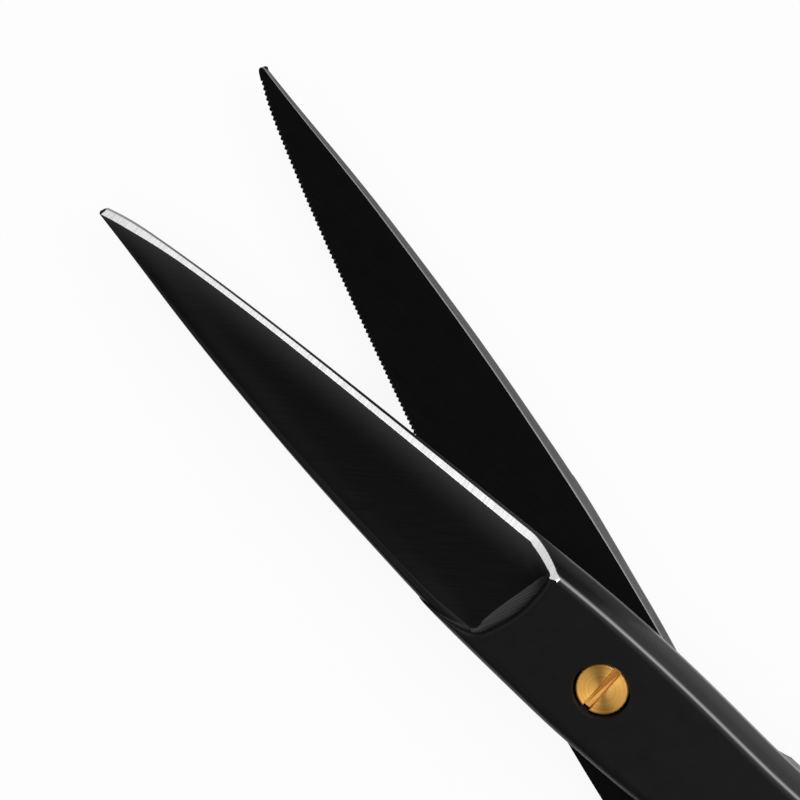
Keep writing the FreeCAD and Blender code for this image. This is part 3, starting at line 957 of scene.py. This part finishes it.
class NodeWork:
    """A node tree, with short calls for its nodes."""

    def __init__(self, tree: bpy.types.NodeTree) -> None:
        """Takes a tree to work on."""
        self.tree = tree

    def node(self, kind: str, inputs: dict[str | int, object] | None = None, **settings: object) -> bpy.types.Node:
        """Adds a node.

        Args:
            kind: The node's type.
            inputs: A value, or the socket to link, for inputs by name or number.
            **settings: Its properties.

        Returns:
            The node.
        """
        made = self.tree.nodes.new(kind)
        for name, value in settings.items():
            setattr(made, name, value)
        for name, value in (inputs or {}).items():
            if isinstance(value, bpy.types.NodeSocket):
                self.link(value, made.inputs[name])
            else:
                made.inputs[name].default_value = value
        return made

    def link(self, source: bpy.types.NodeSocket, target: bpy.types.NodeSocket) -> None:
        """Links two sockets."""
        self.tree.links.new(source, target)

    def math(self, operation: str, first: bpy.types.NodeSocket,
             second: bpy.types.NodeSocket | float = 0.0) -> bpy.types.NodeSocket:
        """Works out a value from one or two others."""
        return self.node("ShaderNodeMath", {0: first, 1: second}, operation=operation).outputs[0]

    def between(self, value: bpy.types.NodeSocket, low: float, high: float, to_low: float, to_high: float,
                blend: str = "LINEAR") -> bpy.types.NodeSocket:
        """Maps a value's range to another."""
        return self.node("ShaderNodeMapRange", {"Value": value, "From Min": low, "From Max": high,
                                                "To Min": to_low, "To Max": to_high},
                         interpolation_type=blend).outputs["Result"]


@dataclass(frozen=True)
class ToothGlintSpecks:
    """Tiny warm-brown specks in the notches of the serrated edge: painted glints, whose colour stands in for the
    warm glints on the tooth flanks.
    """

    slot: str
    name: str = "tooth_glint_specks"
    body: str = "lower"
    first: float = 9.3
    last: float = 36.4
    inset: float = 0.035
    length: float = 0.12
    width: float = 0.07
    height: float = 0.012
    smallest: float = 0.55
    largest: float = 1.2
    seed: int = 7

    def make_path(self, half: ScissorHalf, form: HalfForm) -> bpy.types.Object:
        """Line with a point in every notch.

        Args:
            half: The serrated half.
            form: Its form, with the serration.

        Returns:
            The piece that carries the line.
        """
        row = form.serration
        x = row.start + (np.arange(int((row.end - row.start) / row.pitch)) + 0.5) * row.pitch
        x = x[(x > self.first) & (x < self.last)]
        y = form.at("edge", x) + row.depth + self.inset
        points = np.stack([x, y, np.full_like(x, form.gap)], -1)
        mesh = bpy.data.meshes.new(self.name)
        mesh.from_pydata(points.tolist(), [(i, i + 1) for i in range(len(x) - 1)], [])
        mesh.transform(half.turn())
        return add_object(self.name, mesh)

    def make_tree(self) -> bpy.types.NodeTree:
        """Tree that lays one speck of random size at every point of a line.

        Returns:
            The tree.
        """
        work = NodeWork(bpy.data.node_groups.new("glint_specks_along_edge", "GeometryNodeTree"))
        for name, kind in (("Line", "Geometry"), ("Length", "Float"), ("Width", "Float"), ("Height", "Float"),
                           ("Seed", "Int"), ("Finish", "Material")):
            work.tree.interface.new_socket(name, in_out="INPUT", socket_type="NodeSocket" + kind)
        work.tree.interface.new_socket("GlintSpecks", in_out="OUTPUT", socket_type="NodeSocketGeometry")
        given = work.node("NodeGroupInput").outputs
        curve = work.node("GeometryNodeMeshToCurve", {"Mesh": given["Line"]})
        dots = work.node("GeometryNodeCurveToPoints", {"Curve": curve.outputs["Curve"]}, mode="EVALUATED")
        glint_speck = work.node("GeometryNodeMeshIcoSphere", {"Radius": 0.5, "Subdivisions": 2})
        chance = work.node("FunctionNodeRandomValue", {"Seed": given["Seed"]}, data_type="FLOAT")
        low, high = [socket for socket in chance.inputs if socket.type == "VALUE"][:2]
        low.default_value, high.default_value = self.smallest, self.largest
        drawn = next(socket for socket in chance.outputs if socket.type == "VALUE")
        size = work.node("ShaderNodeCombineXYZ", {"X": given["Width"], "Y": given["Height"], "Z": given["Length"]})
        grown = work.node("ShaderNodeVectorMath", {0: size.outputs["Vector"]}, operation="SCALE")
        work.link(drawn, grown.inputs["Scale"])
        laid = work.node("GeometryNodeInstanceOnPoints", {
            "Points": dots.outputs["Points"], "Rotation": dots.outputs["Rotation"],
            "Instance": glint_speck.outputs["Mesh"], "Scale": grown.outputs["Vector"]})
        real = work.node("GeometryNodeRealizeInstances", {"Geometry": laid.outputs["Instances"]})
        dressed = work.node("GeometryNodeSetMaterial", {"Geometry": real.outputs["Geometry"],
                                                        "Material": given["Finish"]})
        work.node("NodeGroupOutput", {"GlintSpecks": dressed.outputs["Geometry"]})
        return work.tree

    def build(self, half: ScissorHalf, form: HalfForm, finish: bpy.types.Material) -> bpy.types.Object:
        """Makes the painted glint specks and lets them ride with the serrated half.

        Args:
            half: The serrated half.
            form: Its form.
            finish: The specks' warm-brown colour, which paints the glints.

        Returns:
            The piece.
        """
        piece = self.make_path(half, form)
        tree = self.make_tree()
        sockets = {item.name: item.identifier for item in tree.interface.items_tree if item.in_out == "INPUT"}
        layer = piece.modifiers.new("glint_specks", "NODES")
        layer.node_group = tree
        for name, value in (("Length", self.length * MM), ("Width", self.width * MM), ("Height", self.height * MM),
                            ("Seed", self.seed), ("Finish", finish)):
            layer[sockets[name]] = value
        line = piece.data
        plain = bpy.data.meshes.new_from_object(piece.evaluated_get(bpy.context.evaluated_depsgraph_get()))
        piece.modifiers.clear()
        piece.data = plain
        bpy.data.meshes.remove(line)
        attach(piece, self.body)
        LOG.info("%s: %d faces", self.name, len(plain.polygons))
        return piece


@dataclass
class PivotScrew:
    """Slotted pivot screw."""

    head: float = 1.40
    neck: float = 1.00
    top: float = 1.90
    head_height: float = 0.90
    chamfer: float = 0.10
    slot_width: float = 0.42
    slot_depth: float = 0.50
    slot_angle: float = -77.4
    slot_edge: float = 0.03
    point_chamfer: float = 0.2
    corner_steps: int = 6
    face_rings: int = 16
    segments: int = 192

    def build(self, finish: bpy.types.Material) -> bpy.types.Object:
        """Builds the screw and puts it in place of its node.

        Args:
            finish: The screw's material.

        Returns:
            The finished piece.
        """
        seat = self.top - self.head_height
        low = -HALF_THICKNESS
        point, rings = self.point_chamfer, self.face_rings
        profile = [(0.0, low), (self.neck - point, low), (self.neck, low + point), (self.neck, seat),
                   (self.head, seat)]
        for i in range(self.corner_steps + 1):
            angle = math.pi / 2 * i / self.corner_steps
            profile.append((self.head - self.chamfer * (1 - math.cos(angle)),
                            self.top - self.chamfer * (1 - math.sin(angle))))
        flat = self.head - self.chamfer
        profile += [(flat * (1 - i / rings), self.top) for i in range(1, rings + 1)]
        shape = bmesh.new()
        verts = [shape.verts.new((r, 0, z)) for r, z in profile]
        edges = [shape.edges.new(pair) for pair in zip(verts, verts[1:])]
        bmesh.ops.spin(shape, geom=verts + edges, cent=(0, 0, 0), axis=(0, 0, 1), angle=2 * math.pi,
                       steps=self.segments, use_duplicate=False)
        bmesh.ops.remove_doubles(shape, verts=shape.verts, dist=1e-4)
        bmesh.ops.recalc_face_normals(shape, faces=shape.faces)
        piece = add_object("slotted_screw", as_mesh(shape, "pivot_screw_turned"))
        cutter = self.make_slot_cutter()
        cut = piece.modifiers.new("slot", "BOOLEAN")
        cut.operation = "DIFFERENCE"
        cut.solver = "EXACT"
        cut.object = cutter
        depsgraph = bpy.context.evaluated_depsgraph_get()
        result = bpy.data.meshes.new_from_object(piece.evaluated_get(depsgraph))
        piece.modifiers.clear()
        piece.data = result
        bpy.data.objects.remove(cutter)
        self.lay_turning_map(result)
        result.transform(Matrix.Scale(MM, 4) @ Matrix.Translation((0, 0, HALF_THICKNESS)))
        result.materials.clear()
        result.materials.append(finish)
        tidy_mesh(piece, 1e-8)
        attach(piece, "lower")
        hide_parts("pivot_screw")
        LOG.info("%s: %d faces", piece.name, len(piece.data.polygons))
        return piece

    def make_slot_cutter(self) -> bpy.types.Object:
        """Bar with bevelled upper edges that cuts the slot."""
        half, edge = self.slot_width / 2, self.slot_edge
        deep, top, above = self.top - self.slot_depth, self.top, self.top + 1
        section = [(-half, deep), (half, deep), (half, top - edge), (half + edge, top), (half + edge, above),
                   (-half - edge, above), (-half - edge, top), (-half, top - edge)]
        shape = bmesh.new()
        ends = [[shape.verts.new((x, y, z)) for y, z in section] for x in (-3, 3)]
        shape.faces.new(ends[0])
        shape.faces.new(list(reversed(ends[1])))
        for i in range(len(section)):
            n = (i + 1) % len(section)
            shape.faces.new((ends[0][i], ends[1][i], ends[1][n], ends[0][n]))
        bmesh.ops.recalc_face_normals(shape, faces=shape.faces)
        mesh = as_mesh(shape, "slot_cutter")
        mesh.transform(Matrix.Rotation(math.radians(self.slot_angle), 4, "Z"))
        return add_object("slot_cutter", mesh)

    def lay_turning_map(self, mesh: bpy.types.Mesh) -> None:
        """UV map that runs round the axis, so that the finish follows the turning."""
        layer = mesh.uv_layers.get("turning") or mesh.uv_layers.new(name="turning")
        for face in mesh.polygons:
            base = math.atan2(face.center.y, face.center.x)
            for loop in face.loop_indices:
                point = mesh.vertices[mesh.loops[loop].vertex_index].co
                angle = math.atan2(point.y, point.x) if math.hypot(point.x, point.y) > 1e-6 else base
                angle = base + (angle - base + math.pi) % (2 * math.pi) - math.pi
                radius = math.hypot(point.x, point.y)
                layer.data[loop].uv = (angle / (2 * math.pi), radius + point.z)


class Shader(NodeWork):
    """A material's node tree, with short calls for what the finishes need."""

    middle: tuple[float, float] = (0.3, 0.7)
    ring_fade: tuple[float, float] = (-4.3, -2.4)
    # Where the painted facet sheen fades in, below the ridge.
    facet_border: tuple[float, float] = (-0.052, -0.022)
    # Fall-off of the painted sheen beside the ridge.
    shine_power: float = 2.5
    # Reach and power of the painted highlight line along the ridge.
    highlight_reach: float = 0.0085
    highlight_power: float = 1.3

    def __init__(self, name: str) -> None:
        """Starts a material with a Principled shader.

        Args:
            name: The material's name.
        """
        self.material = bpy.data.materials.new(name)
        self.material.use_nodes = True
        super().__init__(self.material.node_tree)
        self.main = self.tree.nodes["Principled BSDF"]

    def set(self, **values: object) -> None:
        """Sets or links inputs of the main shader; an underscore stands for a space."""
        for name, value in values.items():
            socket = self.main.inputs[name.replace("_", " ")]
            if isinstance(value, bpy.types.NodeSocket):
                self.link(value, socket)
            else:
                socket.default_value = value

    def grade(self, pattern: bpy.types.NodeSocket, low: float, high: float) -> bpy.types.NodeSocket:
        """Maps the middle part of a pattern to a range."""
        return self.between(pattern, *self.middle, low, high)

    def grain_place(self, turn: float, scale: tuple[float, float]) -> bpy.types.NodeSocket:
        """Coordinates on the grain map, turned and stretched.

        Args:
            turn: Angle of the grain, in degrees.
            scale: Stretch across and along.

        Returns:
            The coordinates.
        """
        turned = self.node("ShaderNodeMapping", {"Vector": self.map_place("grain"),
                                                 "Rotation": (0, 0, math.radians(turn))})
        stretched = self.node("ShaderNodeMapping", {"Vector": turned.outputs["Vector"], "Scale": (*scale, 1)})
        return stretched.outputs["Vector"]

    def map_place(self, name: str) -> bpy.types.NodeSocket:
        """Coordinates on one of the piece's maps."""
        return self.node("ShaderNodeUVMap", uv_map=name).outputs["UV"]

    def part_of(self, place: bpy.types.NodeSocket, axis: str) -> bpy.types.NodeSocket:
        """One axis of some coordinates."""
        return self.node("ShaderNodeSeparateXYZ", {0: place}).outputs[axis]

    def object_place(self) -> bpy.types.NodeSocket:
        """Coordinates of the object."""
        return self.node("ShaderNodeTexCoord").outputs["Object"]

    def noise(self, place: bpy.types.NodeSocket, scale: float, detail: float = 4.0) -> bpy.types.NodeSocket:
        """Noise pattern.

        Args:
            place: Coordinates.
            scale: Its fineness.
            detail: Its detail.

        Returns:
            The value from 0 to 1.
        """
        return self.node("ShaderNodeTexNoise", {"Vector": place, "Scale": scale, "Detail": detail}).outputs["Fac"]

    def from_ridge(self) -> bpy.types.NodeSocket:
        """Distance across from the ridge, in centimetres."""
        return self.part_of(self.map_place("section"), "Y")

    def beside_edge(self, start: float, end: float, strength: float) -> bpy.types.NodeSocket:
        """Value that fades with the distance from the ridge, in millimetres: the mask of a painted sheen."""
        fade = self.between(self.from_ridge(), start / MAP_UNIT, end / MAP_UNIT, 1.0, 0.0)
        return self.math("MULTIPLY", self.math("POWER", fade, self.shine_power), strength)

    def ahead_of_ring(self) -> bpy.types.NodeSocket:
        """Value that fades out along the shank before the finger ring."""
        return self.between(self.part_of(self.map_place("grain"), "X"), *self.ring_fade, 0.0, 1.0)

    def painted_facet_sheen(self) -> bpy.types.NodeSocket:
        """Value that grows towards the lower border of the facet under the ridge: the mask of a painted sheen."""
        low = self.between(self.from_ridge(), *self.facet_border, 1.0, 0.0)
        return self.math("MULTIPLY", low, self.ahead_of_ring())

    def painted_edge_highlights(self, strength: float) -> bpy.types.NodeSocket:
        """Painted highlights: thin metallic lines along the ridge and the rim of the inner face, standing in for
        the highlights there.
        """
        ridge = self.between(self.math("ABSOLUTE", self.from_ridge()), 0.0, self.highlight_reach, 1.0, 0.0)
        rim = self.node("ShaderNodeAttribute", attribute_name="rim").outputs["Fac"]
        both = self.math("MAXIMUM", *(self.math("POWER", value, self.highlight_power) for value in (ridge, rim)))
        return self.math("MULTIPLY", self.math("MULTIPLY", both, strength), self.ahead_of_ring())

    def mix(self, share: bpy.types.NodeSocket, first: tuple | bpy.types.NodeSocket,
            second: tuple) -> bpy.types.NodeSocket:
        """Mixes two colours."""
        made = self.node("ShaderNodeMix", data_type="RGBA")
        self.link(share, made.inputs[0])
        colours = [socket for socket in made.inputs if socket.type == "RGBA"]
        if isinstance(first, tuple):
            colours[0].default_value = (*first, 1)
        else:
            self.link(first, colours[0])
        colours[1].default_value = (*second, 1)
        return next(socket for socket in made.outputs if socket.type == "RGBA")

    def bump(self, height: bpy.types.NodeSocket, strength: float, distance: float,
             after: bpy.types.NodeSocket | None = None) -> bpy.types.NodeSocket:
        """Bump from a height.

        Args:
            height: The pattern.
            strength: Its strength.
            distance: Its height, in metres.
            after: Another bump to add to.

        Returns:
            The normal.
        """
        made = self.node("ShaderNodeBump", {"Height": height, "Strength": strength, "Distance": distance})
        if after is not None:
            self.link(after, made.inputs["Normal"])
        return made.outputs["Normal"]

    def tangent(self, uv_map: str) -> None:
        """Lays the anisotropy along a UV map."""
        made = self.node("ShaderNodeTangent", direction_type="UV_MAP", uv_map=uv_map)
        self.link(made.outputs["Tangent"], self.main.inputs["Tangent"])


@dataclass(frozen=True)
class BlackCoating:
    """Satin black coating over forged steel, with an optional painted sheen beside the ridge and optional painted
    highlight lines on the ridge and the inner face's rim.
    """

    name: str
    dark: tuple[float, float, float] = (0.0048, 0.0048, 0.0053)
    light: tuple[float, float, float] = (0.0078, 0.0078, 0.0084)
    roughness: float = 0.30
    grain_turn: float = 0.0
    grain: float = 0.0
    grain_scale: tuple[float, float] = (4.0, 260.0)
    ior: float = 1.24
    painted_edge_sheen: float = 0.0
    # Strength of the painted highlight lines on the ridge and the inner face's rim; they also turn the surface
    # metallic there.
    painted_highlight: float = 0.0
    # Colour and reach of the painted sheen beside the ridge.
    shine: tuple[float, float, float] = (0.045, 0.045, 0.047)
    shine_reach: float = 2.2
    # Lighter colour of the painted sheen along the facet's lower border.
    facet: tuple[float, float, float] = (0.038, 0.038, 0.040)
    # Metallic grey of the painted highlight lines.
    steel: tuple[float, float, float] = (0.46, 0.455, 0.45)
    cloud_fineness: float = 900.0
    speck_fineness: float = 14000.0
    speck_height: float = 0.000004
    grain_height: float = 0.000006

    def make(self) -> bpy.types.Material:
        """Builds the material.

        Returns:
            The material.
        """
        shader = Shader(self.name)
        place = shader.object_place()
        cloud = shader.noise(place, self.cloud_fineness, 3.0)
        speck = shader.noise(place, self.speck_fineness, 2.0)
        lines = shader.noise(shader.grain_place(self.grain_turn, self.grain_scale), 1.0, 5.0)
        colour = shader.mix(shader.grade(lines, 0.0, 1.0), self.dark, self.light)
        if self.painted_edge_sheen:
            # Painted sheen: the ground face lightens towards the ridge.
            colour = shader.mix(shader.beside_edge(0.0, self.shine_reach, self.painted_edge_sheen), colour, self.shine)
        if self.painted_highlight:
            # Painted sheen: the facet lightens towards its lower border.
            colour = shader.mix(shader.painted_facet_sheen(), colour, self.facet)
            # Painted highlights: metallic grey lines along the ridge and the inner face's rim.
            painted_highlight = shader.painted_edge_highlights(self.painted_highlight)
            colour = shader.mix(painted_highlight, colour, self.steel)
            shader.set(Metallic=painted_highlight)
        normal = shader.bump(speck, 0.12, self.speck_height)
        if self.grain:
            normal = shader.bump(lines, self.grain, self.grain_height, normal)
        shader.set(Base_Color=colour, Roughness=shader.grade(cloud, self.roughness - 0.03, self.roughness + 0.04),
                   Normal=normal, IOR=self.ior)
        return shader.material


@dataclass(frozen=True)
class GroundSteel:
    """Bare steel of the cutting bevel, with fine lines across the edge."""

    name: str
    dark: tuple[float, float, float] = (0.72, 0.72, 0.725)
    light: tuple[float, float, float] = (0.90, 0.90, 0.905)
    roughness: float = 0.27
    grain_turn: float = 76.0
    coarse: tuple[float, float] = (6.0, 90.0)
    fine: tuple[float, float] = (10.0, 320.0)
    line_height: float = 0.000004

    def make(self) -> bpy.types.Material:
        """Builds the material.

        Returns:
            The material.
        """
        shader = Shader(self.name)
        lines = shader.noise(shader.grain_place(self.grain_turn, self.coarse), 1.0, 3.0)
        fine = shader.noise(shader.grain_place(self.grain_turn, self.fine), 1.0, 2.0)
        shader.set(Base_Color=shader.mix(shader.grade(lines, 0.0, 1.0), self.dark, self.light),
                   Roughness=shader.grade(lines, self.roughness - 0.03, self.roughness + 0.05),
                   Normal=shader.bump(fine, 0.12, self.line_height), Metallic=1.0)
        return shader.material


@dataclass(frozen=True)
class TurnedGold:
    """Gold-coloured screw, with the rings that turning leaves."""

    name: str
    deep: tuple[float, float, float] = (0.86, 0.40, 0.06)
    bright: tuple[float, float, float] = (1.0, 0.60, 0.18)
    roughness: float = 0.40
    rings: float = 9.0
    ring_height: float = 0.000006

    def make(self) -> bpy.types.Material:
        """Builds the material.

        Returns:
            The material.
        """
        shader = Shader(self.name)
        stretched = shader.node("ShaderNodeMapping", {"Vector": shader.map_place("turning"),
                                                      "Scale": (1.0, self.rings, 1)})
        rings = shader.noise(stretched.outputs["Vector"], 1.0, 5.0)
        shader.set(Base_Color=shader.mix(shader.between(rings, 0.25, 0.75, 0.0, 1.0), self.deep, self.bright),
                   Roughness=shader.grade(rings, self.roughness - 0.06, self.roughness + 0.08),
                   Normal=shader.bump(rings, 0.5, self.ring_height), Metallic=1.0, Anisotropic=0.9,
                   Anisotropic_Rotation=0.25)
        shader.tangent("turning")
        return shader.material


@dataclass(frozen=True)
class Stripe:
    """Dim stripe across a soft light."""

    side: tuple[float, float, float]
    shift: float
    start: float
    end: float


@dataclass(frozen=True)
class SoftLight:
    """Bright part of the surround about one direction."""

    side: tuple[float, float, float]
    start: float
    end: float
    strength: float
    stripe: Stripe | None = None


@dataclass
class Studio:
    """Pale floor, soft light and the camera."""

    floor_size: float = 3.0
    target: tuple[float, float, float] = (18.54, -0.58, 2.2)
    distance: float = 120.0
    tilt: float = 19.0
    azimuth: float = -88.34
    roll: float = 128.34
    pixels_per_mm: float = 18.76
    frame_pixels: float = 800.0
    sensor: float = 36.0
    dim_surround: float = 0.06
    soft_lights: tuple[SoftLight, ...] = (
        SoftLight((0.1, -0.97, 0.2), 0.1, 0.95, 1.05),
        SoftLight((0.0, 0.0, 1.0), 0.42, 0.84, 1.8, Stripe((-0.62, -0.784, 0.0), 0.249, 0.06, 0.42)),
    )
    floor_drop: float = 0.00002
    floor_paint: float = 0.9
    floor_glow: float = 0.985
    floor_glow_share: float = 0.93

    def make_camera(self) -> None:
        """Camera at the photograph's place."""
        tilt, azimuth, roll = (math.radians(value) for value in (self.tilt, self.azimuth, self.roll))
        back = Vector((math.sin(tilt) * math.cos(azimuth), math.sin(tilt) * math.sin(azimuth), math.cos(tilt)))
        level = Vector((math.cos(roll), -math.sin(roll), 0))
        hinge = Vector((0, 0, 1)).cross(back).normalized()
        right = Quaternion(hinge, tilt).to_matrix() @ level
        up = back.cross(right)
        turn = Matrix((right, up, back)).transposed().to_4x4()
        camera = bpy.data.cameras.new("photo_camera")
        camera.sensor_width = self.sensor
        camera.lens = self.sensor * self.pixels_per_mm * self.distance / self.frame_pixels
        camera.clip_start = 0.001
        camera.clip_end = 20
        holder = add_object("photo_camera", camera)
        place = (Vector(self.target) + back * self.distance) * MM
        holder.matrix_world = Matrix.Translation(place) @ turn
        bpy.context.scene.camera = holder

    def make_floor(self) -> None:
        """White floor that the object lies on."""
        size = self.floor_size / 2
        mesh = bpy.data.meshes.new("floor")
        corners = [(-size, -size), (size, -size), (size, size), (-size, size)]
        mesh.from_pydata([(x, y, -self.floor_drop) for x, y in corners], [], [(0, 1, 2, 3)])
        floor = add_object("floor", mesh)
        material = bpy.data.materials.new("white_table")
        material.use_nodes = True
        work = NodeWork(material.node_tree)
        work.tree.nodes.clear()
        paint = work.node("ShaderNodeBsdfDiffuse", {"Color": (*[self.floor_paint] * 3, 1)})
        glow = work.node("ShaderNodeEmission", {"Color": (*[self.floor_glow] * 3, 1)})
        rays = work.node("ShaderNodeLightPath").outputs["Is Camera Ray"]
        share = work.math("MULTIPLY", rays, self.floor_glow_share)
        both = work.node("ShaderNodeMixShader", {0: share, 1: paint.outputs[0], 2: glow.outputs[0]})
        work.node("ShaderNodeOutputMaterial", {"Surface": both.outputs[0]})
        mesh.materials.append(material)

    def make_world(self) -> None:
        """Soft surround: bright overhead and in front, dim elsewhere, and white to the camera."""
        world = bpy.data.worlds.new("soft_surround")
        bpy.context.scene.world = world
        world.use_nodes = True
        work = NodeWork(world.node_tree)
        work.tree.nodes.clear()
        place = work.node("ShaderNodeTexCoord").outputs["Generated"]
        total = self.dim_surround
        for light in self.soft_lights:
            total = work.math("ADD", self.glow_of(work, place, light), total)
        surround = work.node("ShaderNodeBackground", {"Strength": total})
        white = work.node("ShaderNodeBackground", {"Color": (1, 1, 1, 1)})
        rays = work.node("ShaderNodeLightPath").outputs["Is Camera Ray"]
        both = work.node("ShaderNodeMixShader", {0: rays, 1: surround.outputs[0], 2: white.outputs[0]})
        work.node("ShaderNodeOutputWorld", {"Surface": both.outputs[0]})

    def glow_of(self, work: NodeWork, place: bpy.types.NodeSocket, light: SoftLight) -> bpy.types.NodeSocket:
        """Strength of one soft light in a direction.

        Args:
            work: The surround's node tree.
            place: The direction.
            light: The soft light.

        Returns:
            The strength.
        """
        def towards(side: tuple[float, float, float]) -> bpy.types.NodeSocket:
            """How far the direction points to a side."""
            return work.node("ShaderNodeVectorMath", {0: place, 1: side}, operation="DOT_PRODUCT").outputs["Value"]

        glow = work.between(towards(light.side), light.start, light.end, 0.0, light.strength, "SMOOTHSTEP")
        if light.stripe is None:
            return glow
        stripe = light.stripe
        off_middle = work.math("ABSOLUTE", work.math("ADD", towards(stripe.side), stripe.shift))
        open_part = work.between(off_middle, stripe.start, stripe.end, 0.0, 1.0, "SMOOTHSTEP")
        return work.math("MULTIPLY", open_part, glow)

    def make_lamp(self, name: str, azimuth: float, elevation: float, distance: float, size: tuple[float, float],
                  power: float) -> None:
        """Soft lamp that looks at the joint.

        Args:
            name: Its name.
            azimuth: Its direction, in degrees from +X.
            elevation: Its height over the floor, in degrees.
            distance: Its distance, in metres.
            size: Its width and height, in metres.
            power: Its power, in watts.
        """
        lamp = bpy.data.lights.new(name, "AREA")
        lamp.shape = "RECTANGLE"
        lamp.size, lamp.size_y = size
        lamp.energy = power
        holder = add_object(name, lamp)
        a, e = math.radians(azimuth), math.radians(elevation)
        away = Vector((math.cos(a) * math.cos(e), math.sin(a) * math.cos(e), math.sin(e)))
        holder.location = away * distance
        holder.rotation_euler = away.to_track_quat("Z", "Y").to_euler()

    def build(self) -> None:
        """Sets up the whole studio."""
        self.make_camera()
        self.make_floor()
        self.make_world()
        self.make_lamp("key_lamp", azimuth=-96.0, elevation=38.0, distance=0.7, size=(0.7, 0.28), power=2.3)
        bpy.context.scene.view_settings.view_transform = "Standard"


def main() -> None:
    """Builds the scissors and their studio."""
    logging.basicConfig(level=logging.INFO, format="%(name)s: %(message)s")
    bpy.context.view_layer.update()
    # The forged finish carries the painted highlight lines and the painted facet sheen.
    forged = BlackCoating("black_coating", painted_highlight=0.7).make()
    # The ground finish carries a painted sheen beside the ridge.
    ground = BlackCoating("black_coating_ground", dark=(0.0012, 0.0012, 0.0014), light=(0.0042, 0.0042, 0.0046),
                          roughness=0.36, grain_turn=-38.0, grain=0.8, ior=1.12, painted_edge_sheen=0.55).make()
    # The run-out has its own grain, and its lighter colour also paints the light that its curved face catches.
    run_out = BlackCoating("black_coating_run_out", dark=(0.010, 0.0098, 0.0096), light=(0.056, 0.055, 0.0545),
                           roughness=0.42, grain_turn=-70.0, grain=0.9).make()
    bevel = GroundSteel("ground_bevel").make()
    inner = BlackCoating("black_coating_lapped", dark=(0.0014, 0.0014, 0.0015), light=(0.0032, 0.0032, 0.0034),
                         roughness=0.36, grain_turn=20.0, grain=0.3, ior=1.14).make()
    finishes = [forged, ground, bevel, inner, run_out]
    slots = [row["slot"] for row in frame["record"]["materials"]]
    ScissorHalf("plain_half", "upper_half", "upper", slots[0], upper=True).build(finishes)
    serrated = ScissorHalf("serrated_half", "lower_half", "lower", slots[1], upper=False)
    serrated.build(finishes)
    # Warm-brown colour that paints the glints on the tooth flanks.
    glint_speck = BlackCoating("painted_glint_brown", dark=(0.022, 0.015, 0.012), light=(0.062, 0.042, 0.034), ior=1.3).make()
    ToothGlintSpecks(slots[1]).build(serrated, HalfForm(serration=Serration()), glint_speck)
    PivotScrew().build(TurnedGold("turned_gold").make())
    Studio().build()


if __name__ == "__main__":
    main()
